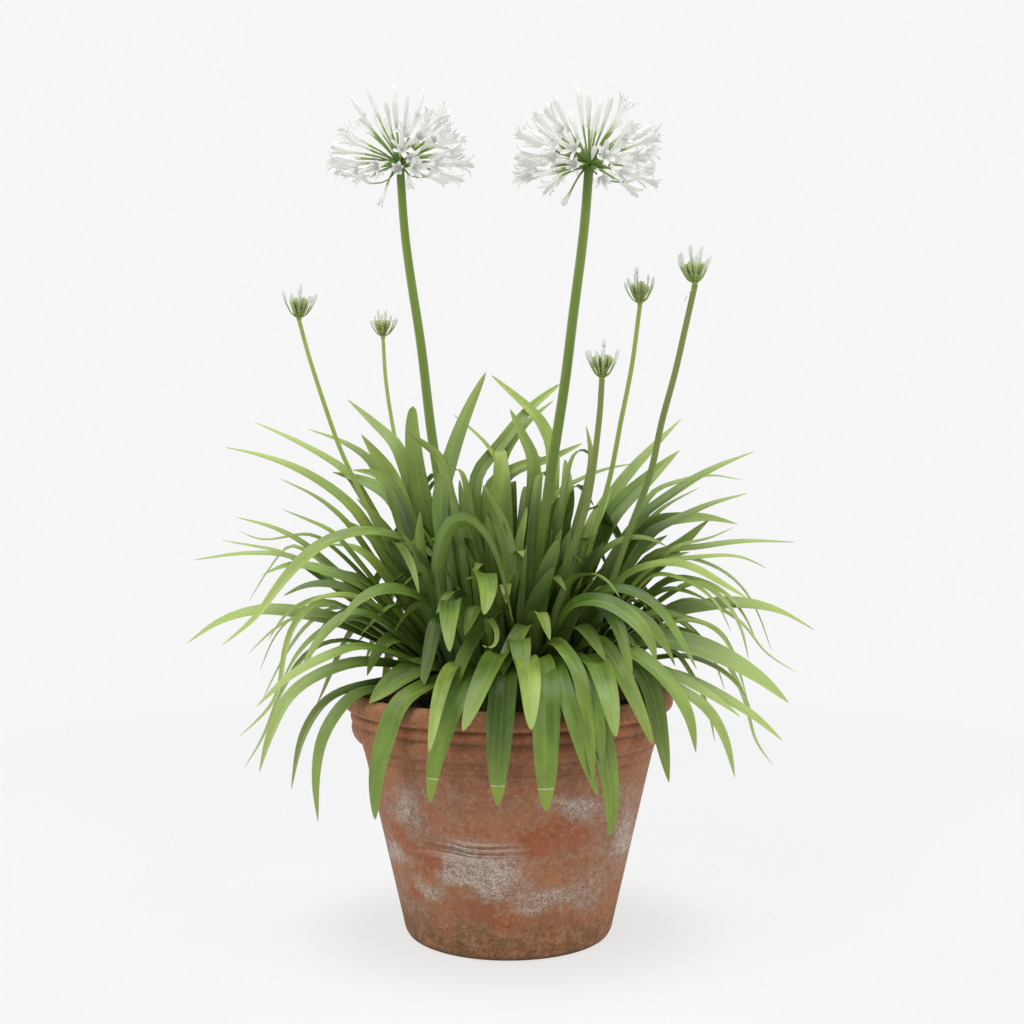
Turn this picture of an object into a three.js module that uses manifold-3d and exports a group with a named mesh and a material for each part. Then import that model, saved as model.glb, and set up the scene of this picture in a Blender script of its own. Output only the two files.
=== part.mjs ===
// Agapanthus in a terracotta pot: a clump of strap leaves, two open white umbels on tall stems
// and five closed bud heads on thinner ones. Millimetres, +Z up, the origin under the pot's centre.
import * as THREE from 'three';
import { mergeVertices } from 'three/addons/utils/BufferGeometryUtils.js';
import Module from 'manifold-3d';

const wasm = await Module();
wasm.setup();

// ---------------------------------------------------------------- driving dimensions
const RIM_RADIUS = 180.5;
const RIM_HEIGHT = 262;
const BASE_RADIUS = 110.5;
const FLOOR_THICKNESS = 16;
const DRAIN_RADIUS = 14;
const POT_SIDES = 34;
const SOIL_TOP = 245;
const SOIL_EDGE = 238;
const FIT_GAP = 0.4;
const HOLE_FLOOR = 205;
const STEM_FOOT = 206;
const CROWN_BASE = 247;
const CROWN_HEIGHT = 72;
const ROOT_HEIGHT = 284;
const KEEL_SHARE = 0.085;
const LEAST_KEEL = 1.3;
const FLORET_LENGTH = 38;
const FLORET_MOUTH = 16;
const PEDICEL_LENGTH = 40;
const BUD_LENGTH = 40;
const BUD_RADIUS = 3.2;
const UMBEL_KNOB = 7.5;
const BUD_KNOB = 4.2;
const KNOB_SIDES = 6;

// The front elevation grid: the eye stands EYE_DISTANCE in front of the axis at EYE_HEIGHT, and one
// unit of the grid is 1 / GRID_SCALE of the distance. Places on it are written (u, v), v downwards.
const EYE_SIDE = 3.6;
const EYE_DISTANCE = 1400;
const EYE_HEIGHT = 454.6;
const GRID_SCALE = 1275;
const GRID_CENTRE = 512;

const GREEN = 0x5f8a35;
const DARK_GREEN = 0x557a30;
const STEM_GREEN = 0x7f9a48;
const WHITE = 0xf2f2ee;
const BUD_WHITE = 0xd9dfb8;
const TERRACOTTA = 0xa8684a;
const SOIL_BROWN = 0x2e241d;

const rad = THREE.MathUtils.degToRad;
const UPWARD = new THREE.Vector3(0, 0, 1);
const polar = (radius, azimuth, z) =>
  new THREE.Vector3(radius * Math.cos(rad(azimuth)), radius * Math.sin(rad(azimuth)), z);

// A seeded random number generator (mulberry32).
function seeded(seed) {
  let state = seed >>> 0;
  return () => {
    state = (state + 0x6d2b79f5) >>> 0;
    let t = state;
    t = Math.imul(t ^ (t >>> 15), t | 1);
    t ^= t + Math.imul(t ^ (t >>> 7), t | 61);
    return ((t ^ (t >>> 14)) >>> 0) / 4294967296;
  };
}
const above = (p, rise) => p.clone().add(new THREE.Vector3(0, 0, rise));
const between = (random, low, high) => low + (high - low) * random();

// ---------------------------------------------------------------- solids
function solid(points, triangles) {
  const vertProperties = new Float32Array(points.length * 3);
  points.forEach((p, i) => vertProperties.set([p.x, p.y, p.z], 3 * i));
  const triVerts = new Uint32Array(triangles.flat());
  return new wasm.Manifold(new wasm.Mesh({ numProp: 3, vertProperties, triVerts }));
}

// Rings of equal size, one above the other, with flat ends or a point at either end.
// A ring runs anticlockwise seen from the end that the rings go to.
function loft(rings) {
  const points = [];
  const starts = rings.map((ring) => points.push(...ring) - ring.length);
  const triangles = [];
  for (let k = 0; k + 1 < rings.length; k += 1) {
    const low = rings[k].length;
    const high = rings[k + 1].length;
    const n = Math.max(low, high);
    for (let i = 0; i < n; i += 1) {
      const j = (i + 1) % n;
      const a = starts[k] + (i % low);
      const b = starts[k] + (j % low);
      const c = starts[k + 1] + (i % high);
      const d = starts[k + 1] + (j % high);
      if (low > 1) triangles.push([a, b, d]);
      if (high > 1) triangles.push([a, d, c]);
    }
  }
  const last = rings.length - 1;
  for (let i = 1; i + 1 < rings[0].length; i += 1) {
    triangles.push([starts[0], starts[0] + i + 1, starts[0] + i]);
  }
  for (let i = 1; i + 1 < rings[last].length; i += 1) {
    triangles.push([starts[last], starts[last] + i, starts[last] + i + 1]);
  }
  return solid(points, triangles);
}

// A direction well away from an axis, for a ring's first point to be turned from.
const awayFrom = (axis) => (Math.abs(axis.z) > 0.9 ? new THREE.Vector3(1, 0, 0) : UPWARD);

// A ring of a tube across the direction along, with its first point turned by phase. The rings of
// one tube are turned from one direction, so that the tube isn't twisted.
function ringAt(centre, along, radius, sides, phase = 0, from = awayFrom(along)) {
  const side = new THREE.Vector3().crossVectors(from, along).normalize();
  const other = new THREE.Vector3().crossVectors(along, side);
  return Array.from({ length: sides }, (_, i) => {
    const angle = phase + (2 * Math.PI * i) / sides;
    return centre.clone().addScaledVector(side, radius * Math.cos(angle))
      .addScaledVector(other, radius * Math.sin(angle));
  });
}

function fuse(solids) {
  let rest = solids;
  while (rest.length > 1) {
    const joined = [];
    for (let i = 0; i < rest.length; i += 2) {
      joined.push(i + 1 < rest.length ? rest[i].add(rest[i + 1]) : rest[i]);
    }
    rest = joined;
  }
  return rest[0];
}

const largest = (body) => body.decompose().reduce((a, b) => (b.volume() > a.volume() ? b : a));

// ---------------------------------------------------------------- curves
// Where the grid place (u, v) lies on the upright plane through the axis at an azimuth.
function onPlane(u, v, azimuth) {
  const slope = (u - GRID_CENTRE) / GRID_SCALE;
  const turn = Math.tan(rad(azimuth));
  const x = (EYE_SIDE + EYE_DISTANCE * slope) / (1 - slope * turn);
  const y = turn * x;
  return new THREE.Vector3(x, y, EYE_HEIGHT - ((v - GRID_CENTRE) / GRID_SCALE) * (EYE_DISTANCE + y));
}

// Where it lies at a reach from the axis, in front of it (side -1) or behind it (side 1).
function atReach(u, v, reach, side) {
  const slope = (u - GRID_CENTRE) / GRID_SCALE;
  const offset = EYE_SIDE + EYE_DISTANCE * slope;
  const a = 1 + slope * slope;
  const b = slope * offset;
  const root = Math.sqrt(Math.max(0, b * b - a * (offset * offset - reach * reach)));
  const y = (-b + side * root) / a;
  const x = offset + slope * y;
  return new THREE.Vector3(x, y, EYE_HEIGHT - ((v - GRID_CENTRE) / GRID_SCALE) * (EYE_DISTANCE + y));
}

// A smooth curve through points, as a function of the share of its length.
function smooth(points) {
  const n = points.length;
  const knots = [0];
  for (let i = 1; i < n; i += 1) knots.push(knots[i - 1] + points[i].distanceTo(points[i - 1]));
  const slopes = points.map((p, i) => {
    const a = Math.max(i - 1, 0);
    const b = Math.min(i + 1, n - 1);
    return points[b].clone().sub(points[a]).divideScalar(knots[b] - knots[a]);
  });
  const samples = [];
  const steps = 12;
  for (let i = 0; i + 1 < n; i += 1) {
    const span = knots[i + 1] - knots[i];
    for (let k = i === 0 ? 0 : 1; k <= steps; k += 1) {
      const t = k / steps;
      const h = [2 * t ** 3 - 3 * t ** 2 + 1, t ** 3 - 2 * t ** 2 + t,
        -2 * t ** 3 + 3 * t ** 2, t ** 3 - t ** 2];
      samples.push(points[i].clone().multiplyScalar(h[0])
        .addScaledVector(slopes[i], h[1] * span)
        .addScaledVector(points[i + 1], h[2])
        .addScaledVector(slopes[i + 1], h[3] * span));
    }
  }
  const lengths = [0];
  for (let i = 1; i < samples.length; i += 1) {
    lengths.push(lengths[i - 1] + samples[i].distanceTo(samples[i - 1]));
  }
  const total = lengths[lengths.length - 1];
  return (share) => {
    const goal = Math.min(Math.max(share, 0), 1) * total;
    let i = 1;
    while (i < samples.length - 1 && lengths[i] < goal) i += 1;
    const t = (goal - lengths[i - 1]) / (lengths[i] - lengths[i - 1]);
    return samples[i - 1].clone().lerp(samples[i], t);
  };
}

function directionAt(curve, share) {
  const step = 0.02;
  return curve(Math.min(share + step, 1)).sub(curve(Math.max(share - step, 0))).normalize();
}

// ---------------------------------------------------------------- pot and soil
function lathe(profile) {
  const n = profile.length;
  const onAxis = (p) => p[0] === 0;
  const points = [];
  const index = profile.map((p) => {
    const first = points.length;
    const count = onAxis(p) ? 1 : POT_SIDES;
    for (let i = 0; i < count; i += 1) points.push(polar(p[0], (360 * i) / POT_SIDES, p[1]));
    return (i) => first + (i % count);
  });
  const triangles = [];
  for (let k = 0; k < n; k += 1) {
    const m = (k + 1) % n;
    if (onAxis(profile[k]) && onAxis(profile[m])) continue;
    for (let i = 0; i < POT_SIDES; i += 1) {
      if (!onAxis(profile[k])) triangles.push([index[k](i), index[k](i + 1), index[m](i)]);
      if (!onAxis(profile[m])) triangles.push([index[k](i + 1), index[m](i + 1), index[m](i)]);
    }
  }
  return solid(points, triangles);
}

const INNER_TOP = [157, 240];
const INNER_FLOOR = [100, FLOOR_THICKNESS];
const potOutside = [
  [BASE_RADIUS, 0], [113.5, 6], [156.2, 190], [158.6, 198], [160.5, 205],
  [168.5, 212.5], [172.2, 220], [170.6, 229], [172.6, 237], [179, 245],
  [RIM_RADIUS, 254], [176, 261], [167, RIM_HEIGHT], [160.5, 257],
];
const pot = lathe([[DRAIN_RADIUS, 0], ...potOutside, INNER_TOP, INNER_FLOOR,
  [DRAIN_RADIUS, FLOOR_THICKNESS]]);

const soilBody = lathe([
  [0, FLOOR_THICKNESS + FIT_GAP],
  [INNER_FLOOR[0] - FIT_GAP, FLOOR_THICKNESS + FIT_GAP],
  [INNER_TOP[0] - 2 * FIT_GAP, SOIL_EDGE],
  [95, SOIL_TOP - 2],
  [0, SOIL_TOP],
]);

// Space that no leaf enters: the pot and the soil, a little larger than they are.
const clearance = 0.7;
const potSpace = lathe([
  [0, -1], ...potOutside.map(([r, z]) => [r + clearance, z + clearance]),
  [INNER_TOP[0] + clearance, INNER_TOP[1]], [0, SOIL_TOP + clearance],
]);

function column(foot, radius, low, high, sides) {
  const ring = (z) => ringAt(foot.clone().setZ(z), UPWARD, radius, sides);
  return loft([ring(low), ring(high)]);
}

// ---------------------------------------------------------------- stems
// [azimuth of its plane, radius at the foot, radius at the top, foot u, grid places from the top down]
const flowerStems = {
  flower_stem_left: [165, 6.1, 4.6, 478, [400, 166, 404.5, 230, 410, 273, 421, 345, 434, 450]],
  flower_stem_right: [-45, 5.9, 4.8, 522, [589, 168, 584, 230, 573, 317, 565, 382, 547, 500, 533, 620]],
};
const budStems = {
  bud_stem_1: [165, 2.9, 2.3, 458, [299, 320, 310, 360, 336, 438, 351, 473]],
  bud_stem_2: [125, 2.9, 2.3, 446, [383, 338, 386, 382, 395, 438]],
  bud_stem_3: [-45, 3.8, 3, 536, [602, 380, 599, 421, 588, 500, 572, 550, 555, 600]],
  bud_stem_4: [15, 3.1, 2.5, 545, [640, 305, 632, 365, 621, 421, 608, 485]],
  bud_stem_5: [-15, 4, 3.2, 572, [695, 285, 686, 325, 675, 373, 662, 421, 650, 475, 628, 535]],
};
const STEM_SIDES = 6;
const FOOT_V = 706;

function stemCurve([azimuth, , , footU, places]) {
  const points = [];
  for (let i = 0; i < places.length; i += 2) points.unshift(onPlane(places[i], places[i + 1], azimuth));
  const foot = onPlane(footU, FOOT_V, azimuth);
  foot.z = SOIL_TOP + 4;
  return [foot, ...points];
}

function stemSolid(row, extra = 0) {
  const [, footRadius, topRadius] = row;
  const points = stemCurve(row);
  const curve = smooth(points);
  const foot = points[0].clone().setZ(STEM_FOOT - extra);
  const rings = [ringAt(foot, UPWARD, footRadius + extra, STEM_SIDES)];
  const steps = 6;
  for (let i = 0; i <= steps; i += 1) {
    const share = i / steps;
    const along = i === 0 ? UPWARD : UPWARD.clone().lerp(directionAt(curve, share), 0.4).normalize();
    const radius = THREE.MathUtils.lerp(footRadius, topRadius, share) + extra;
    rings.push(ringAt(curve(share), along, radius, STEM_SIDES));
  }
  return loft(rings);
}

const allStems = { ...flowerStems, ...budStems };

// ---------------------------------------------------------------- leaves
// Leaf places run from the tip towards the root.
// Leaves at the sides: [azimuth, width, turn of the face to the front, root reach, u, v, u, v, ...]
const sideLeaves = [
  [172, 22, 25, 70, 225, 447, 260, 455, 300, 470, 340, 496, 362, 520],
  [158, 15, 22, 66, 254, 422, 290, 438, 330, 460, 352, 478],
  [150, 16, 22, 60, 308, 429, 345, 443, 375, 467],
  [146, 20, 30, 62, 347, 399, 375, 424, 400, 452],
  [185, 26, 78, 60, 361, 434, 380, 460, 390, 475],
  [200, 24, 55, 66, 352, 470, 380, 475, 400, 500],
  [159, 22, 50, 64, 332, 472, 370, 483, 398, 505],
  [178, 12, 25, 72, 279, 478, 320, 499, 352, 529],
  [186, 12, 25, 74, 282, 509, 320, 525, 335, 533],
  [182, 14, 25, 78, 236, 517, 275, 528, 310, 548],
  [176, 8, 25, 76, 239, 531, 262, 540, 320, 537],
  [190, 10, 25, 74, 221, 540, 260, 547, 285, 553],
  [178, 13, 25, 80, 193, 560, 250, 553, 300, 560],
  [202, 20, 28, 58, 221, 646, 255, 618, 285, 578, 320, 545, 360, 531, 388, 534, 415, 543, 435, 560,
    445, 584],
  [171, 8, 25, 80, 249, 601, 268, 570, 295, 544],
  [191, 22, 30, 74, 262, 575, 290, 564, 330, 572, 370, 590],
  [200, 20, 30, 76, 283, 596, 310, 584, 350, 590],
  [186, 26, 28, 84, 187, 643, 220, 621, 260, 610, 300, 613, 340, 622, 380, 640],
  [192, 8, 25, 82, 248, 654, 275, 628, 300, 616, 340, 618],
  [169, 8, 25, 82, 260, 670, 275, 635, 300, 612, 340, 606],
  [201, 10, 25, 84, 239, 737, 272, 705, 280, 685, 285, 650, 298, 618, 330, 600],
  [205, 10, 25, 82, 280, 685, 300, 650, 330, 625, 360, 618],
  [213, 16, 30, 80, 300, 672, 315, 645, 335, 622, 365, 612],
  [216, 14, 28, 84, 256, 707, 290, 676, 325, 657, 365, 646],
  [208, 18, 28, 86, 259, 773, 270, 735, 290, 695, 325, 672, 365, 662],
  [198, 8, 25, 84, 244, 768, 263, 737, 282, 690, 310, 650, 350, 640],
  [204, 14, 25, 90, 291, 790, 303, 735, 330, 697, 380, 682],
  [215, 15, 25, 90, 318, 822, 316, 775, 325, 732, 355, 694, 388, 688],
  [212, 18, 35, 80, 367, 676, 375, 655, 395, 635],
  [219, 25, 40, 84, 369, 703, 400, 676, 430, 664],
  [216, 18, -50, 66, 394, 632, 404, 617, 420, 604],
  [207, 18, -55, 66, 420, 511, 420, 560, 432, 615],
  [150, 24, 70, 52, 413, 406, 412, 430, 420, 490],
  [-36, 13, -50, 60, 586, 425, 592, 460, 585, 500, 572, 550],
  [38, 17, 25, 62, 682, 418, 655, 445, 625, 478, 605, 510],
  [30, 25, 45, 60, 680, 450, 655, 472, 605, 525],
  [8, 18, 28, 68, 755, 451, 710, 470, 670, 495, 635, 525],
  [23, 10, 25, 66, 743, 480, 710, 475, 670, 484, 650, 495],
  [28, 9, 25, 64, 700, 487, 660, 510, 630, 545],
  [1, 18, 28, 72, 748, 493, 710, 504, 680, 518, 650, 535],
  [9, 24, 40, 68, 738, 524, 700, 517, 640, 532],
  [-5, 9, 25, 70, 734, 527, 710, 538, 670, 550],
  [4, 16, 25, 74, 796, 542, 745, 541, 700, 547, 650, 557],
  [-8, 11, 25, 74, 768, 569, 740, 556, 700, 557, 650, 568],
  [-22, 16, 30, 72, 750, 600, 730, 588, 690, 566, 660, 563, 620, 580],
  [10, 8, 25, 76, 772, 652, 758, 612, 738, 582, 705, 562, 670, 560],
  [6, 26, 28, 82, 815, 630, 780, 611, 740, 603, 700, 607, 660, 617],
  [-22, 28, 35, 86, 789, 703, 760, 678, 720, 655, 685, 643, 640, 640],
  [-28, 18, 28, 86, 783, 741, 750, 713, 700, 686, 660, 672],
  [-33, 14, 28, 84, 741, 717, 715, 698, 680, 678, 640, 664],
  [-2, 8, 25, 80, 798, 673, 765, 652, 745, 625, 715, 606, 680, 600],
  [-12, 10, 25, 82, 773, 765, 755, 740, 745, 700, 725, 660, 695, 635, 660, 628],
  [-4, 12, 25, 78, 749, 660, 740, 625, 722, 598, 690, 582],
  [-11, 12, 25, 80, 736, 655, 720, 630, 685, 618, 650, 612],
  [-36, 15, 28, 86, 735, 778, 725, 738, 705, 706, 672, 686, 640, 668],
  [-40, 18, 30, 86, 696, 753, 690, 718, 675, 690, 655, 668, 625, 650],
  [-20, 8, 25, 82, 715, 742, 708, 708, 695, 680, 665, 645],
  [-34, 20, 30, 72, 674, 661, 655, 630, 635, 614, 605, 608],
  [-30, 15, 30, 66, 697, 670, 680, 638, 655, 604, 620, 588, 592, 596],
  [-41, 22, 35, 84, 669, 783, 660, 730, 650, 684, 635, 662, 610, 650],
];

// Leaves to the front and back: [side, width, turn, root reach, root azimuth, u, v, reach, ...]
const deepLeaves = [
  [-1, 22, 25, 84, -122, 375, 820, 199, 376, 780, 200, 385, 740, 197, 399, 704, 186, 430, 684, 140],
  [-1, 16, 20, 78, -122, 422, 690, 148, 430, 650, 128, 440, 617, 106],
  [-1, 22, 0, 76, -112, 450, 652, 234, 449, 628, 216, 450, 612, 180, 453, 598, 130],
  [-1, 26, 0, 66, -104, 484, 615, 206, 488, 595, 192, 487, 582, 164, 482, 570, 116],
  [-1, 16, 15, 60, -78, 435, 726, 191, 455, 680, 166, 468, 648, 140, 502, 606, 96],
  [-1, 15, 10, 84, -108, 429, 752, 240, 440, 694, 206, 455, 664, 150],
  [-1, 20, 25, 84, -102, 430, 803, 192, 435, 760, 195, 457, 698, 182, 475, 668, 130],
  [-1, 24, 0, 80, -88, 463, 731, 244, 483, 680, 206, 500, 652, 140],
  [-1, 18, 0, 74, -72, 489, 697, 176, 508, 655, 141, 528, 622, 100],
  [-1, 27, 0, 86, -91, 498, 806, 191, 498, 760, 194, 503, 690, 182, 507, 664, 130],
  [-1, 23, 0, 84, -82, 531, 730, 250, 530, 684, 214, 525, 655, 140],
  [-1, 27, 0, 84, -74, 556, 731, 194, 549, 694, 178, 537, 655, 122],
  [-1, 28, 0, 86, -80, 546, 812, 191, 546, 762, 195, 545, 692, 183, 540, 664, 126],
  [-1, 15, 25, 78, -80, 593, 780, 196, 590, 743, 197, 580, 677, 180, 567, 653, 150, 551, 640, 118],
  [-1, 18, 25, 84, -74, 598, 796, 193, 578, 733, 194, 563, 685, 176, 552, 660, 120],
  [-1, 20, 20, 86, -66, 602, 762, 197, 597, 722, 197, 588, 682, 174, 572, 656, 116],
  [-1, 22, 25, 88, -62, 610, 836, 189, 612, 800, 193, 602, 735, 195, 591, 686, 178, 575, 660, 124],
  [-1, 20, 40, 76, -66, 656, 660, 210, 648, 635, 204, 620, 608, 172, 600, 600, 154, 570, 606, 116],
  [-1, 12, -35, 66, -60, 620, 598, 164, 610, 583, 152, 595, 573, 134, 570, 580, 104],
  [-1, 23, 20, 84, -62, 616, 737, 236, 607, 688, 206, 590, 658, 146],
  [-1, 20, 35, 84, -58, 653, 745, 212, 640, 712, 204, 614, 660, 158, 592, 640, 118],
  [-1, 16, 40, 80, -58, 632, 675, 196, 618, 625, 172, 603, 604, 146, 585, 602, 114],
  [-1, 16, 60, 62, -86, 527, 507, 62, 518, 550, 76, 513, 590, 84],
  [-1, 18, -45, 62, -96, 483, 485, 84, 503, 530, 72, 511, 570, 78],
  [-1, 13, -45, 62, -120, 406, 431, 154, 425, 445, 126, 442, 460, 104],
  [-1, 18, -45, 78, -122, 486, 372, 84, 467, 412, 88, 450, 460, 96, 440, 510, 104],
  [-1, 20, -45, 80, -122, 513, 622, 128, 498, 560, 122, 484, 532, 116, 465, 517, 112, 446, 530, 108,
    438, 580, 104],
  [1, 18, 20, 58, 60, 491, 375, 114, 520, 400, 110, 540, 420, 112, 553, 455, 112],
  [1, 22, 50, 60, 118, 560, 384, 140, 530, 408, 114, 500, 445, 96, 475, 482, 88],
  [1, 12, 20, 56, 96, 453, 414, 122, 485, 440, 96, 500, 456, 86],
  [1, 14, 20, 60, 108, 554, 400, 150, 525, 425, 120, 500, 470, 92],
  [1, 20, 20, 56, 72, 510, 409, 72, 525, 440, 74, 534, 462, 76],
  [1, 16, 50, 62, 114, 543, 457, 98, 510, 470, 86, 488, 490, 82],
  [1, 15, 45, 66, 110, 583, 443, 166, 550, 459, 134, 500, 482, 98],
];

// The leaf fans: the sector of the clump that each shoot's leaves fill, and the number of its leaves
// that a seeded rule places. Stems stand on the planes between the sectors.
const fans = {
  leaf_fan_front: { from: -135, to: -45, filled: 10, stubs: [-112, -68] },
  leaf_fan_front_right: { from: -45, to: -15, filled: 3, stubs: [-30] },
  leaf_fan_right: { from: -15, to: 15, filled: 3, stubs: [0] },
  leaf_fan_back_right: { from: 15, to: 55, filled: 9, stubs: [35] },
  leaf_fan_back: { from: 55, to: 125, filled: 16, stubs: [90] },
  leaf_fan_back_left: { from: 125, to: 165, filled: 9, stubs: [145] },
  leaf_fan_left: { from: 165, to: 195, filled: 3, stubs: [180] },
  leaf_fan_front_left: { from: 195, to: 225, filled: 3, stubs: [210] },
};
const STUB_RADIUS = 9;
const STUB_SIDES = 8;
const STUB_REACH = 64;

// A leaf's width at a share of its length: it widens from LEAF_FOOT of the full width at the root to
// all of it at WIDE_FROM, and narrows to a blunt point beyond POINT_FROM.
const LEAF_FOOT = 0.62;
const WIDE_FROM = 0.55;
const POINT_FROM = 0.58;

function leafWidth(width, share) {
  const foot = LEAF_FOOT + (1 - LEAF_FOOT) * Math.sin((Math.PI / 2) * Math.min(share / WIDE_FROM, 1));
  const beyond = Math.max(share - POINT_FROM, 0) / (1 - POINT_FROM);
  return width * foot * Math.sqrt(Math.max(0, 1 - beyond ** 2));
}

// A blade's spine with the sideways and upward directions along it, from root to tip.
function bladeFrame(points, turn) {
  const curve = smooth(points);
  const root = points[0];
  const tip = points[points.length - 1];
  const run = new THREE.Vector3(tip.x - root.x, tip.y - root.y, 0).normalize();
  const across = new THREE.Vector3(run.y, -run.x, 0);
  const angle = rad(turn) * (across.y >= 0 ? 1 : -1);
  return (share) => {
    const along = directionAt(curve, share);
    const side = across.clone().addScaledVector(along, -across.dot(along)).normalize();
    const up = new THREE.Vector3().crossVectors(side, along);
    const turned = side.clone().multiplyScalar(Math.cos(angle)).addScaledVector(up, Math.sin(angle));
    return { centre: curve(share), side: turned, up: new THREE.Vector3().crossVectors(turned, along) };
  };
}

// A blade of triangular section, flat above and keeled below, with its edges running to nothing.
function blade(leaf, stations) {
  const frame = bladeFrame(leaf.points, leaf.turn);
  const rings = stations.map((share) => {
    const { centre, side, up } = frame(share);
    const half = leafWidth(leaf.width, share) / 2;
    const keel = Math.max(LEAST_KEEL, leaf.width * KEEL_SHARE);
    return [
      centre.clone().addScaledVector(side, half),
      centre.clone().addScaledVector(up, -keel),
      centre.clone().addScaledVector(side, -half),
    ];
  });
  rings.push([frame(1).centre]);
  return loft(rings);
}

function sideLeaf([azimuth, width, turn, rootReach, ...places]) {
  const points = [];
  for (let i = 0; i < places.length; i += 2) points.unshift(onPlane(places[i], places[i + 1], azimuth));
  points.unshift(polar(rootReach, azimuth, ROOT_HEIGHT));
  return { azimuth, width, turn, points };
}

function deepLeaf([side, width, turn, rootReach, azimuth, ...places]) {
  const points = [];
  for (let i = 0; i < places.length; i += 3) {
    points.unshift(atReach(places[i], places[i + 1], places[i + 2], side));
  }
  points.unshift(polar(rootReach, azimuth, ROOT_HEIGHT));
  return { azimuth, width, turn, points };
}

// A leaf placed by rule: it rises from its root to a top and bends down beyond it.
function arch(azimuth, rootReach, reach, top, tipHeight, width, sweep, turn) {
  const span = reach - rootReach;
  const points = [
    polar(rootReach, azimuth, ROOT_HEIGHT),
    polar(rootReach + 0.16 * span, azimuth, ROOT_HEIGHT + 0.55 * (top - ROOT_HEIGHT)),
    polar(rootReach + 0.55 * span, azimuth + 0.4 * sweep, top),
    polar(reach, azimuth + sweep, tipHeight),
  ];
  return { azimuth, width, turn, points };
}

// The leaves that a rule places in a fan, each from its innermost leaf to its outermost: the root's
// reach and the tip's, the height of the top, how far the tip drops below it, and the top's spread.
const backFill = { root: [48, 88], reach: [100, 258], top: [540, 340], drop: [15, 125], spread: 25 };
const sideFill = { root: [50, 80], reach: [80, 190], top: [440, 335], drop: [10, 40], spread: 15 };
const GOLDEN_SHARE = 0.618;
const FILL_MARGIN = 7;

function filledLeaves(fan, random) {
  const middle = (fan.from + fan.to) / 2;
  const half = (fan.to - fan.from) / 2 - FILL_MARGIN;
  const fill = Math.abs(middle - 90) < 60 ? backFill : sideFill;
  return Array.from({ length: fan.filled }, (_, i) => {
    const place = ([first, last]) => THREE.MathUtils.lerp(first, last, (i + 0.5) / fan.filled);
    const azimuth = middle + (((i * GOLDEN_SHARE) % 1) - 0.5) * 2 * half;
    const width = between(random, 15, 25);
    const sweep = between(random, -3, 3);
    const turn = between(random, -14, 14);
    const top = place(fill.top) + between(random, -fill.spread, fill.spread);
    return arch(azimuth, place(fill.root), place(fill.reach), top, top - place(fill.drop), width, sweep,
      turn);
  });
}

function inFan(azimuth, fan) {
  const turned = azimuth < -135 ? azimuth + 360 : azimuth;
  return turned >= fan.from && turned < fan.to;
}

// The sector between two upright planes through the axis, drawn in from both by half a fit gap, and
// larger than any leaf.
const SECTOR_REACH = 600;
const SECTOR_HEIGHTS = [150, 900];

function sector(fan) {
  const half = (fan.to - fan.from) / 2;
  const middle = fan.from + half;
  const apex = polar(FIT_GAP / 2 / Math.sin(rad(half)), middle, 0);
  const corner = (turn) => apex.clone().add(polar(SECTOR_REACH, middle + turn, 0));
  const outline = [apex, corner(-half), corner(0), corner(half)];
  return loft(SECTOR_HEIGHTS.map((z) => outline.map((p) => p.clone().setZ(z))));
}

// The crown that a fan's leaves grow from, and the stubs that it stands on in the soil.
const CROWN_REACH = 92;
const CROWN_MARGIN = 5;

function crown(fan) {
  const middle = (fan.from + fan.to) / 2;
  const half = (fan.to - fan.from) / 2 - CROWN_MARGIN;
  const wide = half > 15;
  const steps = wide ? 3 : 1;
  const outline = [];
  for (let i = 0; i <= steps; i += 1) {
    outline.push(polar(CROWN_REACH, middle - half + (2 * half * i) / steps, 0));
  }
  const inner = wide ? 34 : 38;
  outline.push(polar(inner, middle + half, 0), polar(inner, middle - half, 0));
  const centre = outline.reduce((sum, p) => sum.add(p), new THREE.Vector3()).divideScalar(outline.length);
  const ring = (scale, z) => outline.map((p) => centre.clone().lerp(p, scale).setZ(z));
  const body = loft([ring(0.9, CROWN_BASE), ring(1, CROWN_BASE + CROWN_HEIGHT / 6),
    ring(0.74, CROWN_BASE + CROWN_HEIGHT)]);
  const stubs = fan.stubs.map((azimuth) =>
    column(polar(STUB_REACH, azimuth, 0), STUB_RADIUS, STEM_FOOT, CROWN_BASE + 6, STUB_SIDES));
  return fuse([body, ...stubs]);
}

const LONG_STATIONS = [0, 0.2, 0.38, 0.55, 0.72, 0.88];
const SHORT_STATIONS = [0, 0.28, 0.55, 0.8];

function fanLeaves(fan, random) {
  const placed = [...sideLeaves.map(sideLeaf), ...deepLeaves.map(deepLeaf)];
  return [...placed.filter((leaf) => inFan(leaf.azimuth, fan)), ...filledLeaves(fan, random)];
}

function fanSolid(fan, random) {
  const space = sector(fan);
  const stems = fuse(Object.values(allStems).map((row) => stemSolid(row, FIT_GAP)));
  const blades = fanLeaves(fan, random).map((leaf) => {
    const stations = leaf.points.length > 4 ? LONG_STATIONS : SHORT_STATIONS;
    return largest(blade(leaf, stations).intersect(space).subtract(potSpace));
  });
  return largest(fuse([crown(fan).intersect(space), ...blades]).subtract(stems));
}

// ---------------------------------------------------------------- flowers
// A floret: a slim stalk that widens into a six-pointed star with a hollow mouth. The notches of
// the star stand at NOTCH_REACH of the mouth's radius, NOTCH_DEPTH of the length behind its points.
const PEDICEL_RADIUS = 1.1;
const NECK_RADIUS = 1.6;
const NOTCH_REACH = 0.58;
const NOTCH_DEPTH = 0.22;
const THROAT_PLACE = 0.45;

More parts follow.
